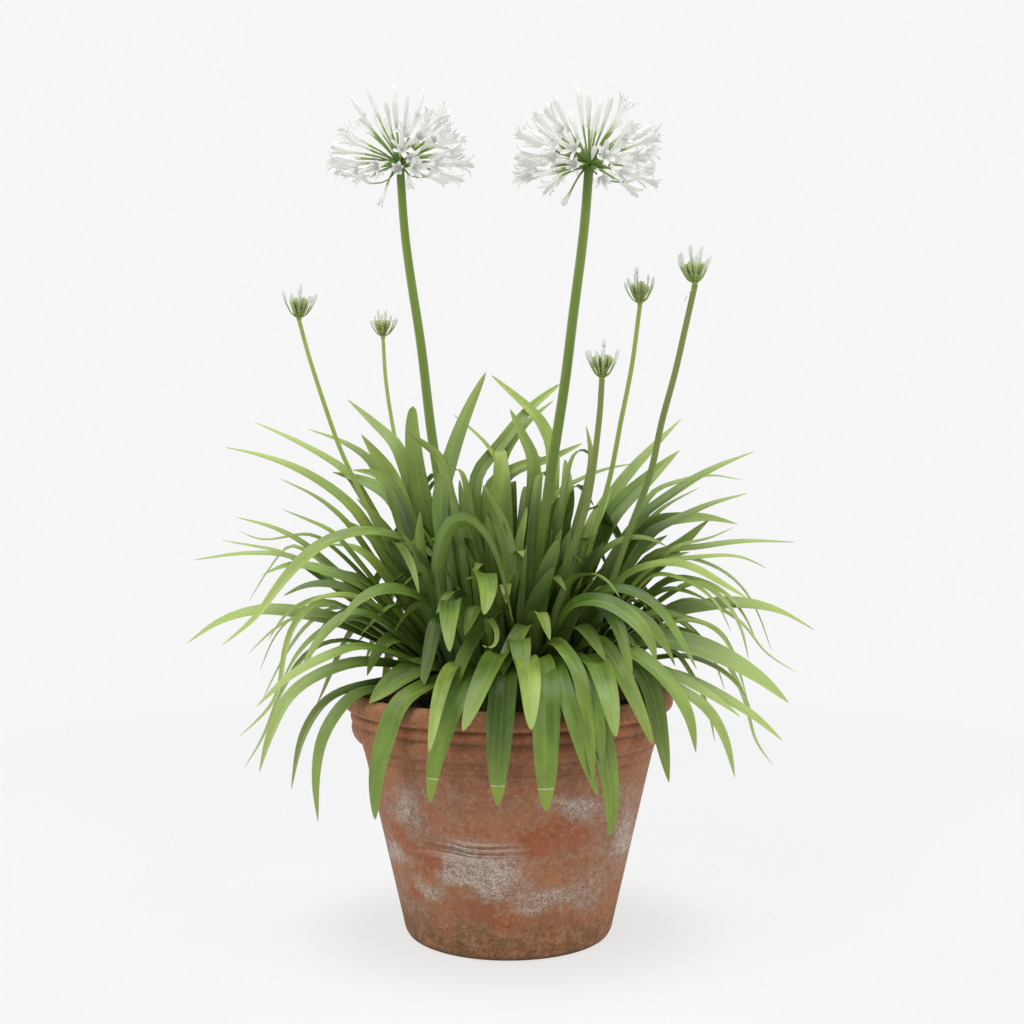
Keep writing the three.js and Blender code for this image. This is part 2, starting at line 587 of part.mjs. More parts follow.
function floret(base, direction, stalk, length, mouth, turn) {
  const along = direction.clone().normalize();
  const neck = base.clone().addScaledVector(along, stalk);
  const rim = neck.clone().addScaledVector(along, length);
  const ring = (centre, radius, sides) => ringAt(centre, along, radius, sides, turn);
  const star = ring(rim, mouth, 12).map((p, i) => {
    if (i % 2 === 0) return p;
    return p.lerp(rim, 1 - NOTCH_REACH).addScaledVector(along, -length * NOTCH_DEPTH);
  });
  const throat = neck.clone().addScaledVector(along, length * THROAT_PLACE);
  const points = [...ring(base, PEDICEL_RADIUS, 3), ...ring(neck, NECK_RADIUS, 3), ...star, throat];
  const triangles = [[0, 2, 1]];
  for (let i = 0; i < 3; i += 1) {
    const j = (i + 1) % 3;
    triangles.push([i, j, 3 + j], [i, 3 + j, 3 + i]);
    for (let k = 0; k < 4; k += 1) {
      const a = 6 + 4 * i + k;
      const b = 6 + ((4 * i + k + 1) % 12);
      triangles.push([3 + i, b, a]);
    }
    triangles.push([3 + i, 3 + j, 6 + ((4 * i + 4) % 12)]);
  }
  for (let k = 0; k < 12; k += 1) triangles.push([6 + k, 6 + ((k + 1) % 12), 18]);
  return solid(points, triangles);
}

// A closed bud on its stalk, a club that turns upwards by bend and is widest at CLUB_WIDEST.
const CLUB_FOOT = 1.0;
const CLUB_NECK = 1.5;
const CLUB_WIDEST = 0.6;

function club(base, direction, bend, stalk, length, radius) {
  const along = direction.clone().normalize();
  const neck = base.clone().addScaledVector(along, stalk);
  const onward = along.clone().lerp(UPWARD, bend).normalize();
  const wide = neck.clone().addScaledVector(onward, length * CLUB_WIDEST);
  const tip = neck.clone().addScaledVector(onward, length);
  const ring = (centre, axis, size) => ringAt(centre, axis, size, 3, 0, awayFrom(along));
  return loft([ring(base, along, CLUB_FOOT), ring(neck, onward, CLUB_NECK), ring(wide, onward, radius),
    [tip]]);
}

// The receptacle that stalks grow from.
function knob(centre, radius) {
  const ring = (rise, share) => ringAt(above(centre, rise * radius), UPWARD, share * radius, KNOB_SIDES);
  return loft([ring(-0.75, 0.7), ring(0, 1), ring(0.8, 0.5)]);
}

const GOLDEN_TURN = 137.508;

// An umbel: stalks set all round by the golden turn, from upright down to UMBEL_DEPTH of a sphere's
// radius, buds at the top and open florets below, with a few that droop: [azimuth, elevation, open].
// The bud at the very top stands topSize times as tall as a middling one.
const UMBEL_DEPTH = 1.24;

function umbel(centre, seed, florets, buds, topSize, drooping) {
  const random = seeded(seed);
  const parts = [knob(centre, UMBEL_KNOB)];
  const total = florets + buds;
  const add = (azimuth, elevation, open, ownSize) => {
    const direction = polar(Math.cos(rad(elevation)), azimuth, Math.sin(rad(elevation)));
    const base = centre.clone().add(polar(elevation < -30 ? 0.88 * UMBEL_KNOB : 0, azimuth, 0));
    const usual = between(random, 0.9, 1.08);
    const size = ownSize ?? usual;
    const turn = between(random, 0, Math.PI / 3);
    parts.push(open
      ? floret(base, direction, PEDICEL_LENGTH * size, FLORET_LENGTH * size, FLORET_MOUTH * size, turn)
      : club(base, direction, 0.15, PEDICEL_LENGTH * size, BUD_LENGTH * size, BUD_RADIUS));
  };
  for (let i = 0; i < total; i += 1) {
    const height = 1 - (UMBEL_DEPTH * (i + 0.5)) / total;
    const elevation = THREE.MathUtils.radToDeg(Math.asin(height)) + between(random, -5, 5);
    add(i * GOLDEN_TURN + between(random, -9, 9), elevation, i >= buds, i === 0 ? topSize : undefined);
  }
  drooping.forEach(([azimuth, elevation, open]) => add(azimuth, elevation, open));
  return largest(fuse(parts));
}

// A bud head: closed buds held upright in a cup, leaning further out the later they come.
const YOUNG_STALK = 12;
const YOUNG_LENGTH = 22;
const YOUNG_RADIUS = 2.5;
const CUP_BEND = 0.62;
const INNER_LEAN = 6;
const OUTER_LEAN = 40;

function budHead(centre, seed, buds) {
  const random = seeded(seed);
  const parts = [knob(centre, BUD_KNOB)];
  for (let i = 0; i < buds; i += 1) {
    const lean = THREE.MathUtils.lerp(INNER_LEAN, OUTER_LEAN, Math.sqrt((i + 0.5) / buds));
    const azimuth = i * GOLDEN_TURN + between(random, -8, 8);
    const direction = polar(Math.sin(rad(lean)), azimuth, Math.cos(rad(lean)));
    const size = between(random, 0.88, 1.1);
    const base = centre.clone().addScaledVector(direction, BUD_KNOB / 2);
    parts.push(club(base, direction, CUP_BEND, YOUNG_STALK * size, YOUNG_LENGTH * size, YOUNG_RADIUS));
  }
  return largest(fuse(parts));
}

// ---------------------------------------------------------------- the assembly
const plant = new THREE.Group();

const WELD = 1e-3;

function geometryOf(body) {
  const { vertProperties, triVerts } = body.getMesh();
  const geometry = new THREE.BufferGeometry();
  geometry.setAttribute('position', new THREE.BufferAttribute(new Float32Array(vertProperties), 3));
  geometry.setIndex(new THREE.BufferAttribute(new Uint32Array(triVerts), 1));
  return geometry;
}

// The body with vertices closer than WELD joined, and without what that leaves loose or sealed.
function welded(body) {
  const geometry = mergeVertices(geometryOf(body), WELD);
  const vertProperties = geometry.attributes.position.array;
  const triVerts = new Uint32Array(geometry.index.array);
  return largest(new wasm.Manifold(new wasm.Mesh({ numProp: 3, vertProperties, triVerts })));
}

function place(name, body, color, roughness) {
  const geometry = geometryOf(welded(welded(body)));
  geometry.computeVertexNormals();
  const mesh = new THREE.Mesh(geometry, new THREE.MeshStandardMaterial({ color, roughness, metalness: 0 }));
  mesh.name = name;
  plant.add(mesh);
}

const HOLE_TOP = SOIL_TOP + 20;
const stemHoles = Object.values(allStems).map((row) =>
  column(stemCurve(row)[0], row[1] + FIT_GAP, HOLE_FLOOR, HOLE_TOP, STEM_SIDES));
const stubHoles = Object.values(fans).flatMap((fan) => fan.stubs.map((azimuth) =>
  column(polar(STUB_REACH, azimuth, 0), STUB_RADIUS + FIT_GAP, HOLE_FLOOR, HOLE_TOP, STUB_SIDES)));
place('pot', pot, TERRACOTTA, 0.85);
place('soil', [...stemHoles, ...stubHoles].reduce((soil, hole) => soil.subtract(hole), soilBody),
  SOIL_BROWN, 0.95);

const leafRandom = seeded(41);
Object.entries(fans).forEach(([name, fan], i) => {
  place(name, fanSolid(fan, leafRandom), i % 2 ? DARK_GREEN : GREEN, 0.55);
});

const seats = { flower: 6.2, bud: 3.6 };
const BUD_SEED = 51;
const tops = {};
Object.entries(allStems).forEach(([name, row]) => {
  place(name, stemSolid(row), STEM_GREEN, 0.5);
  tops[name] = stemCurve(row).pop();
});
place('umbel_left', umbel(above(tops.flower_stem_left, seats.flower), 7, 22, 10, 1.17,
  [[-160, -62, true], [170, -24, false]]), WHITE, 0.6);
place('umbel_right', umbel(above(tops.flower_stem_right, seats.flower), 19, 22, 10, 1.06,
  [[-150, -58, false], [-20, -26, true]]), WHITE, 0.6);
Object.keys(budStems).forEach((name, i) => {
  place(`bud_head_${i + 1}`, budHead(above(tops[name], seats.bud), BUD_SEED + i, 10), BUD_WHITE, 0.6);
});

export default plant;
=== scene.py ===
"""Agapanthus in a terracotta pot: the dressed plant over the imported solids.

Metres and +Z up, with the origin under the pot's centre. The tables and the rules that place stems,
leaves and flowers are the source's own, in millimetres, and MM turns them into metres.
"""
import math
import random as chance
import bpy
import numpy as np
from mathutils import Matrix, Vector


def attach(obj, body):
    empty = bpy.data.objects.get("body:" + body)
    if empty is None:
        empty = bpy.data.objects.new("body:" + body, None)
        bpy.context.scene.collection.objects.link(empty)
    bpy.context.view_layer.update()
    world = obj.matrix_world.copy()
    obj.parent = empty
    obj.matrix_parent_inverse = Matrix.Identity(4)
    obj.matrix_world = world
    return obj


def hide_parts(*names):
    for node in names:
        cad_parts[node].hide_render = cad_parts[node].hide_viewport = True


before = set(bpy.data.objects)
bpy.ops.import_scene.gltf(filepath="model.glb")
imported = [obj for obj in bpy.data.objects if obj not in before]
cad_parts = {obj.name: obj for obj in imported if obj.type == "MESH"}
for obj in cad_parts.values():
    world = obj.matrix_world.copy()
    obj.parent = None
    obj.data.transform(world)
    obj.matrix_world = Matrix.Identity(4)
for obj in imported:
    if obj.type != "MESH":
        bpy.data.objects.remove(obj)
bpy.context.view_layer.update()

MM = 0.001
UP = np.array((0, 0, 1.0))

# ---------------------------------------------------------------- driving dimensions, in mm
RIM_RADIUS = 180.5
RIM_HEIGHT = 262
BASE_RADIUS = 110.5
FLOOR_THICKNESS = 16
DRAIN_RADIUS = 14
SOIL_TOP = 245
SOIL_EDGE = 238
SOIL_RADIUS = 156
ROOT_HEIGHT = 284
FLORET_LENGTH = 38
PEDICEL_LENGTH = 40
BUD_LENGTH = 40
UMBEL_KNOB = 7.5
BUD_KNOB = 4.2
FLOWER_SEAT = 0.5
BUD_SEAT = 1.5
GOLDEN_TURN = 137.508
GOLDEN_SHARE = 0.618

# The front elevation grid that the tables are written on: see on_plane and at_reach.
EYE_SIDE = 3.6
EYE_DISTANCE = 1400
EYE_HEIGHT = 454.6
GRID_SCALE = 1275
GRID_CENTRE = 512

# [azimuth of its plane, radius at the foot, radius at the top, foot u, grid places from the top down]
FLOWER_STEMS = {
    "flower_stem_left": (165, 6.1, 4.6, 478, [400, 166, 404.5, 230, 410, 273, 421, 345, 434, 450]),
    "flower_stem_right": (-45, 5.9, 4.8, 522,
                          [589, 168, 584, 230, 573, 317, 565, 382, 547, 500, 533, 620]),
}
BUD_STEMS = {
    "bud_stem_1": (165, 2.9, 2.3, 458, [299, 320, 310, 360, 336, 438, 351, 473]),
    "bud_stem_2": (125, 2.9, 2.3, 446, [383, 338, 386, 382, 395, 438]),
    "bud_stem_3": (-45, 3.8, 3, 536, [602, 380, 599, 421, 588, 500, 572, 550, 555, 600]),
    "bud_stem_4": (15, 3.1, 2.5, 545, [640, 305, 632, 365, 621, 421, 608, 485]),
    "bud_stem_5": (-15, 4, 3.2, 572, [695, 285, 686, 325, 675, 373, 662, 421, 650, 475, 628, 535]),
}
FOOT_V = 706
THICK_STEM = 3.5

# Leaves at the sides: [azimuth, width, turn of the face to the front, root reach, u, v, u, v, ...]
SIDE_LEAVES = [
    [172, 22, 25, 70, 225, 447, 260, 455, 300, 470, 340, 496, 362, 520],
    [158, 15, 22, 66, 254, 422, 290, 438, 330, 460, 352, 478],
    [150, 16, 22, 60, 308, 429, 345, 443, 375, 467],
    [146, 20, 30, 62, 347, 399, 375, 424, 400, 452],
    [185, 26, 78, 60, 361, 434, 380, 460, 390, 475],
    [200, 24, 55, 66, 352, 470, 380, 475, 400, 500],
    [159, 22, 50, 64, 332, 472, 370, 483, 398, 505],
    [178, 12, 25, 72, 279, 478, 320, 499, 352, 529],
    [186, 12, 25, 74, 282, 509, 320, 525, 335, 533],
    [182, 14, 25, 78, 236, 517, 275, 528, 310, 548],
    [176, 8, 25, 76, 239, 531, 262, 540, 320, 537],
    [190, 10, 25, 74, 221, 540, 260, 547, 285, 553],
    [178, 13, 25, 80, 193, 560, 250, 553, 300, 560],
    [202, 20, 28, 58, 221, 646, 255, 618, 285, 578, 320, 545, 360, 531, 388, 534, 415, 543, 435, 560,
     445, 584],
    [171, 8, 25, 80, 249, 601, 268, 570, 295, 544],
    [191, 22, 30, 74, 262, 575, 290, 564, 330, 572, 370, 590],
    [200, 20, 30, 76, 283, 596, 310, 584, 350, 590],
    [186, 26, 28, 84, 187, 643, 220, 621, 260, 610, 300, 613, 340, 622, 380, 640],
    [192, 8, 25, 82, 248, 654, 275, 628, 300, 616, 340, 618],
    [169, 8, 25, 82, 260, 670, 275, 635, 300, 612, 340, 606],
    [201, 10, 25, 84, 239, 737, 272, 705, 280, 685, 285, 650, 298, 618, 330, 600],
    [205, 10, 25, 82, 280, 685, 300, 650, 330, 625, 360, 618],
    [213, 16, 30, 80, 300, 672, 315, 645, 335, 622, 365, 612],
    [216, 14, 28, 84, 256, 707, 290, 676, 325, 657, 365, 646],
    [208, 18, 28, 86, 259, 773, 270, 735, 290, 695, 325, 672, 365, 662],
    [198, 8, 25, 84, 244, 768, 263, 737, 282, 690, 310, 650, 350, 640],
    [204, 14, 25, 90, 291, 790, 303, 735, 330, 697, 380, 682],
    [215, 15, 25, 90, 318, 822, 316, 775, 325, 732, 355, 694, 388, 688],
    [212, 18, 35, 80, 367, 676, 375, 655, 395, 635],
    [219, 25, 40, 84, 369, 703, 400, 676, 430, 664],
    [216, 18, -50, 66, 394, 632, 404, 617, 420, 604],
    [207, 18, -55, 66, 420, 511, 420, 560, 432, 615],
    [150, 24, 70, 52, 413, 406, 412, 430, 420, 490],
    [-36, 13, -50, 60, 586, 425, 592, 460, 585, 500, 572, 550],
    [38, 17, 25, 62, 682, 418, 655, 445, 625, 478, 605, 510],
    [30, 25, 45, 60, 680, 450, 655, 472, 605, 525],
    [8, 18, 28, 68, 755, 451, 710, 470, 670, 495, 635, 525],
    [23, 10, 25, 66, 743, 480, 710, 475, 670, 484, 650, 495],
    [28, 9, 25, 64, 700, 487, 660, 510, 630, 545],
    [1, 18, 28, 72, 748, 493, 710, 504, 680, 518, 650, 535],
    [9, 24, 40, 68, 738, 524, 700, 517, 640, 532],
    [-5, 9, 25, 70, 734, 527, 710, 538, 670, 550],
    [4, 16, 25, 74, 796, 542, 745, 541, 700, 547, 650, 557],
    [-8, 11, 25, 74, 768, 569, 740, 556, 700, 557, 650, 568],
    [-22, 16, 30, 72, 750, 600, 730, 588, 690, 566, 660, 563, 620, 580],
    [10, 8, 25, 76, 772, 652, 758, 612, 738, 582, 705, 562, 670, 560],
    [6, 26, 28, 82, 815, 630, 780, 611, 740, 603, 700, 607, 660, 617],
    [-22, 28, 35, 86, 789, 703, 760, 678, 720, 655, 685, 643, 640, 640],
    [-28, 18, 28, 86, 783, 741, 750, 713, 700, 686, 660, 672],
    [-33, 14, 28, 84, 741, 717, 715, 698, 680, 678, 640, 664],
    [-2, 8, 25, 80, 798, 673, 765, 652, 745, 625, 715, 606, 680, 600],
    [-12, 10, 25, 82, 773, 765, 755, 740, 745, 700, 725, 660, 695, 635, 660, 628],
    [-4, 12, 25, 78, 749, 660, 740, 625, 722, 598, 690, 582],
    [-11, 12, 25, 80, 736, 655, 720, 630, 685, 618, 650, 612],
    [-36, 15, 28, 86, 735, 778, 725, 738, 705, 706, 672, 686, 640, 668],
    [-40, 18, 30, 86, 696, 753, 690, 718, 675, 690, 655, 668, 625, 650],
    [-20, 8, 25, 82, 715, 742, 708, 708, 695, 680, 665, 645],
    [-34, 20, 30, 72, 674, 661, 655, 630, 635, 614, 605, 608],
    [-30, 15, 30, 66, 697, 670, 680, 638, 655, 604, 620, 588, 592, 596],
    [-41, 22, 35, 84, 669, 783, 660, 730, 650, 684, 635, 662, 610, 650],
]

# Leaves to the front and back: [side, width, turn, root reach, root azimuth, u, v, reach, ...]
DEEP_LEAVES = [
    [-1, 22, 25, 84, -122, 375, 820, 199, 376, 780, 200, 385, 740, 197, 399, 704, 186, 430, 684, 140],
    [-1, 16, 20, 78, -122, 422, 690, 148, 430, 650, 128, 440, 617, 106],
    [-1, 22, 0, 76, -112, 450, 652, 234, 449, 628, 216, 450, 612, 180, 453, 598, 130],
    [-1, 26, 0, 66, -104, 484, 615, 206, 488, 595, 192, 487, 582, 164, 482, 570, 116],
    [-1, 16, 15, 60, -78, 435, 726, 191, 455, 680, 166, 468, 648, 140, 502, 606, 96],
    [-1, 15, 10, 84, -108, 429, 752, 240, 440, 694, 206, 455, 664, 150],
    [-1, 20, 25, 84, -102, 430, 803, 192, 435, 760, 195, 457, 698, 182, 475, 668, 130],
    [-1, 24, 0, 80, -88, 463, 731, 244, 483, 680, 206, 500, 652, 140],
    [-1, 18, 0, 74, -72, 489, 697, 176, 508, 655, 141, 528, 622, 100],
    [-1, 27, 0, 86, -91, 498, 806, 191, 498, 760, 194, 503, 690, 182, 507, 664, 130],
    [-1, 23, 0, 84, -82, 531, 730, 250, 530, 684, 214, 525, 655, 140],
    [-1, 27, 0, 84, -74, 556, 731, 194, 549, 694, 178, 537, 655, 122],
    [-1, 28, 0, 86, -80, 546, 812, 191, 546, 762, 195, 545, 692, 183, 540, 664, 126],
    [-1, 15, 25, 78, -80, 593, 780, 196, 590, 743, 197, 580, 677, 180, 567, 653, 150, 551, 640, 118],
    [-1, 18, 25, 84, -74, 598, 796, 193, 578, 733, 194, 563, 685, 176, 552, 660, 120],
    [-1, 20, 20, 86, -66, 602, 762, 197, 597, 722, 197, 588, 682, 174, 572, 656, 116],
    [-1, 22, 25, 88, -62, 610, 836, 189, 612, 800, 193, 602, 735, 195, 591, 686, 178, 575, 660, 124],
    [-1, 20, 40, 76, -66, 656, 660, 210, 648, 635, 204, 620, 608, 172, 600, 600, 154, 570, 606, 116],
    [-1, 12, -35, 66, -60, 620, 598, 164, 610, 583, 152, 595, 573, 134, 570, 580, 104],
    [-1, 23, 20, 84, -62, 616, 737, 236, 607, 688, 206, 590, 658, 146],
    [-1, 20, 35, 84, -58, 653, 745, 212, 640, 712, 204, 614, 660, 158, 592, 640, 118],
    [-1, 16, 40, 80, -58, 632, 675, 196, 618, 625, 172, 603, 604, 146, 585, 602, 114],
    [-1, 16, 60, 62, -86, 527, 507, 62, 518, 550, 76, 513, 590, 84],
    [-1, 18, -45, 62, -96, 483, 485, 84, 503, 530, 72, 511, 570, 78],
    [-1, 13, -45, 62, -120, 406, 431, 154, 425, 445, 126, 442, 460, 104],
    [-1, 18, -45, 78, -122, 486, 372, 84, 467, 412, 88, 450, 460, 96, 440, 510, 104],
    [-1, 20, -45, 80, -122, 513, 622, 128, 498, 560, 122, 484, 532, 116, 465, 517, 112, 446, 530, 108,
     438, 580, 104],
    [1, 18, 20, 58, 60, 491, 375, 114, 520, 400, 110, 540, 420, 112, 553, 455, 112],
    [1, 22, 50, 60, 118, 560, 384, 140, 530, 408, 114, 500, 445, 96, 475, 482, 88],
    [1, 12, 20, 56, 96, 453, 414, 122, 485, 440, 96, 500, 456, 86],
    [1, 14, 20, 60, 108, 554, 400, 150, 525, 425, 120, 500, 470, 92],
    [1, 20, 20, 56, 72, 510, 409, 72, 525, 440, 74, 534, 462, 76],
    [1, 16, 50, 62, 114, 543, 457, 98, 510, 470, 86, 488, 490, 82],
    [1, 15, 45, 66, 110, 583, 443, 166, 550, 459, 134, 500, 482, 98],
]
# Thinner leaves between those, which the dressed plant alone carries.
MORE_SIDE_LEAVES = [
    [-14, 14, 35, 66, 668, 547, 650, 538, 625, 538, 602, 552, 588, 572],
    [-10, 9, 25, 78, 731, 632, 722, 611, 705, 591, 680, 578, 650, 575],
    [5, 13, 30, 80, 757, 642, 746, 618, 728, 595, 700, 581, 665, 581],
    [-15, 8, 25, 84, 748, 702, 738, 667, 729, 644, 716, 629, 695, 620, 668, 623],
    [-20, 9, 25, 84, 752, 712, 742, 690, 725, 672, 702, 660, 678, 655],
    [8, 19, 60, 66, 710, 519, 700, 527, 680, 545, 650, 566],
    [12, 20, 50, 62, 668, 535, 650, 545, 625, 560],
    [2, 17, 45, 66, 690, 552, 665, 558, 640, 570],
    [16, 15, 45, 62, 655, 520, 640, 535, 622, 555],
    [-6, 12, 30, 74, 715, 605, 690, 592, 660, 590],
    [-3, 14, 30, 76, 700, 640, 680, 618, 655, 606],
    [4, 12, 30, 76, 725, 690, 712, 655, 690, 628, 660, 614],
    [20, 18, 45, 60, 664, 498, 650, 510, 628, 535],
    [183, 17, 40, 66, 330, 545, 350, 545, 375, 562],
    [176, 16, 40, 66, 345, 520, 362, 530, 382, 550],
    [188, 15, 35, 74, 315, 575, 340, 572, 372, 585],
    [192, 12, 30, 76, 322, 632, 345, 615, 372, 608],
    [184, 12, 30, 78, 306, 671, 313, 648, 326, 624, 350, 610],
    [205, 12, 25, 78, 296, 610, 320, 597, 352, 595, 385, 612],
    [196, 10, 25, 80, 268, 640, 290, 610, 325, 596, 360, 600],
    [178, 9, 25, 82, 262, 700, 285, 655, 310, 622, 345, 606],
    [170, 18, 45, 62, 356, 498, 372, 513, 392, 540],
    [215, 17, 40, 72, 339, 626, 352, 606, 372, 592, 396, 588, 424, 599, 444, 616],
]
MORE_DEEP_LEAVES = [
    [-1, 13, 25, 70, -128, 419, 594, 165, 414, 572, 158, 403, 549, 140, 390, 543, 112],
    [1, 13, 25, 62, 96, 631, 464, 168, 603, 469, 146, 573, 483, 118, 550, 498, 92],
    [1, 21, 50, 56, 80, 565, 459, 104, 567, 480, 96, 566, 510, 82],
    [1, 19, 60, 58, 50, 612, 486, 132, 602, 505, 116, 588, 535, 92],
    [-1, 14, 20, 56, -50, 598, 532, 110, 585, 545, 90, 572, 560, 76],
    [-1, 7, 0, 80, -98, 482, 645, 196, 489, 652, 200, 497, 646, 197, 497, 630, 184, 487, 618, 150],
    [-1, 12, 0, 66, -98, 466, 579, 150, 478, 576, 130, 488, 575, 100],
]
# What sets some leaves apart from their rows, by the grid place of the tip: the distance of a pale
# crease from the tip in mm, how long its point is drawn (its taper), how far the blade twists as
# it goes over in degrees, its share of the row's width, the easing of its bend in mm, and its tone.
OWN = {
    (430, 803): dict(crease=24), (498, 806): dict(crease=19), (546, 812): dict(crease=22),
    (413, 406): dict(taper=0.36, tone=0.3), (543, 457): dict(taper=0.4),
    (560, 384): dict(taper=0.5, narrowed=0.72), (406, 431): dict(taper=0.6),
    (484, 615): dict(twist=20, easing=17, tone=0.5), (450, 652): dict(twist=-12, easing=16, tone=0.2),
    (513, 622): dict(twist=25, narrowed=0.85), (453, 414): dict(narrowed=0.7, easing=26),
    (653, 745): dict(twist=20), (620, 598): dict(twist=-30), (527, 507): dict(twist=20),
    (583, 443): dict(easing=16), (631, 464): dict(easing=16),
    (486, 372): dict(tone=0.15), (420, 511): dict(tone=0.9),
}

# The sector of the clump that each shoot's leaves fill, and how many leaves the source's rule places
# and how many stand upright inside.
FANS = {
    "leaf_fan_front": (-135, -45, 10, 16),
    "leaf_fan_front_right": (-45, -15, 3, 7),
    "leaf_fan_right": (-15, 15, 3, 8),
    "leaf_fan_back_right": (15, 55, 9, 7),
    "leaf_fan_back": (55, 125, 16, 12),
    "leaf_fan_back_left": (125, 165, 9, 7),
    "leaf_fan_left": (165, 195, 3, 8),
    "leaf_fan_front_left": (195, 225, 3, 7),
}
# The leaves that the source's rule places in a fan, each from its innermost leaf to its outermost: the
# root's reach and the tip's, the height of the top, how far the tip drops below it, the top's spread.
BACK_FILL = dict(root=(48, 88), reach=(100, 258), top=(540, 340), drop=(15, 125), spread=25)
SIDE_FILL = dict(root=(50, 80), reach=(80, 190), top=(440, 335), drop=(10, 40), spread=15)
FILL_RANGES = dict(width=(15, 25), sweep=(-3, 3), turn=(-14, 14))
FILL_MARGIN = 7
# Beyond this reach an arching leaf bends as tightly as a leaf of the tables, and short of it gently.
GENTLE_REACH, GENTLE_EASING = 200, 18
# The upright leaves inside a fan, and the low ones that hang over the rim at the back: from and to.
INNER_RANGES = dict(root=(36, 80), run=(10, 75), top=(360, 455), lean=(-8, 8), width=(14, 23),
                    turn=(-70, 70), taper=(0.5, 0.85))
INNER_TOP_AT_BACK = (360, 500)
RIM_RANGES = dict(root=(66, 86), reach=(192, 216), top=(322, 372), sag=(0, 12), tip=(170, 290),
                  sweep=(-9, 9), width=(14, 22), turn=(-30, 30), taper=(0.6, 0.85))
RIM_SECTOR, RIM_SPACING = (35, 145), 8


# ---------------------------------------------------------------- numbers and curves
def polar(radius, azimuth, z):
    a = math.radians(azimuth)
    return np.array((radius * math.cos(a), radius * math.sin(a), z))


def unit(v):
    return v / np.maximum(np.linalg.norm(v, axis=-1, keepdims=True), 1e-12)


def level(v):
    """The level part of a direction."""
    return v * np.array((1.0, 1.0, 0.0))


def circle(count):
    """The angles of places set evenly round a circle."""
    return 2 * np.pi * np.arange(count) / count


def sideways(along):
    """A level direction across each direction given, or one across +Y where that stands upright."""
    side = np.cross(UP, along)
    upright = np.linalg.norm(side, axis=-1, keepdims=True) < 0.05
    return unit(np.where(upright, np.cross((0.0, 1.0, 0.0), along), side))


def seeded(seed):
    """The source's random number generator (mulberry32)."""
    low32 = 0xFFFFFFFF
    state = seed & low32

    def following():
        nonlocal state
        state = (state + 0x6D2B79F5) & low32
        t = ((state ^ (state >> 15)) * (state | 1)) & low32
        t ^= (t + (((t ^ (t >> 7)) * (t | 61)) & low32)) & low32
        return (t ^ (t >> 14)) / 4294967296

    return following


def between(random, low, high):
    return low + (high - low) * random()


def grid_place(x, y, v):
    """The place at x and y that stands on row v of the grid."""
    return np.array((x, y, EYE_HEIGHT - ((v - GRID_CENTRE) / GRID_SCALE) * (EYE_DISTANCE + y)))


def on_plane(u, v, azimuth):
    """Where the grid place (u, v) lies on the upright plane through the axis at an azimuth."""
    slope = (u - GRID_CENTRE) / GRID_SCALE
    turn = math.tan(math.radians(azimuth))
    x = (EYE_SIDE + EYE_DISTANCE * slope) / (1 - slope * turn)
    return grid_place(x, turn * x, v)


def at_reach(u, v, reach, side):
    """Where it lies at a reach from the axis, in front of it (side -1) or behind it (side 1)."""
    slope = (u - GRID_CENTRE) / GRID_SCALE
    offset = EYE_SIDE + EYE_DISTANCE * slope
    a = 1 + slope * slope
    b = slope * offset
    root = math.sqrt(max(0, b * b - a * (offset * offset - reach * reach)))
    y = (-b + side * root) / a
    return grid_place(offset + slope * y, y, v)


def distances(points):
    """How far along the path through points each of them lies."""
    return np.concatenate(([0], np.cumsum(np.linalg.norm(np.diff(points, axis=0), axis=1))))


def read_off(goal, lengths, points):
    return np.stack([np.interp(goal, lengths, points[:, k]) for k in range(3)], axis=-1)


EASED_POINTS = 140
CURVE_STEPS = 12
DIRECTION_STEP = 0.02


def eased(samples, easing):
    """The path with its bends rounded off by about easing mm, and its two ends kept."""
    lengths = distances(samples)
    path = read_off(np.linspace(0, lengths[-1], EASED_POINTS), lengths, samples)
    spacing = lengths[-1] / (EASED_POINTS - 1)
    for _ in range(min(300, int(2 * (easing / spacing) ** 2))):
        path[1:-1] = 0.25 * path[:-2] + 0.5 * path[1:-1] + 0.25 * path[2:]
    return path


def smooth(points, easing=0):
    """A smooth curve through points, as a function of the share of its length."""
    points = np.array(points, float)
    knots = distances(points)
    last = len(points) - 1
    before = np.maximum(np.arange(last + 1) - 1, 0)
    after = np.minimum(np.arange(last + 1) + 1, last)
    slopes = (points[after] - points[before]) / (knots[after] - knots[before])[:, None]
    samples = [points[0]]
    for i in range(last):
        span = knots[i + 1] - knots[i]
        for k in range(1, CURVE_STEPS + 1):
            t = k / CURVE_STEPS
            samples.append((2 * t**3 - 3 * t**2 + 1) * points[i]
                           + (t**3 - 2 * t**2 + t) * span * slopes[i]
                           + (-2 * t**3 + 3 * t**2) * points[i + 1]
                           + (t**3 - t**2) * span * slopes[i + 1])
    samples = np.array(samples)
    if easing:
        samples = eased(samples, easing)
    lengths = distances(samples)

    def curve(share):
        return read_off(np.clip(share, 0, 1) * lengths[-1], lengths, samples)

    curve.length = lengths[-1]
    return curve


def direction_at(curve, share):
    ahead = curve(np.minimum(share + DIRECTION_STEP, 1))
    return unit(ahead - curve(np.maximum(share - DIRECTION_STEP, 0)))


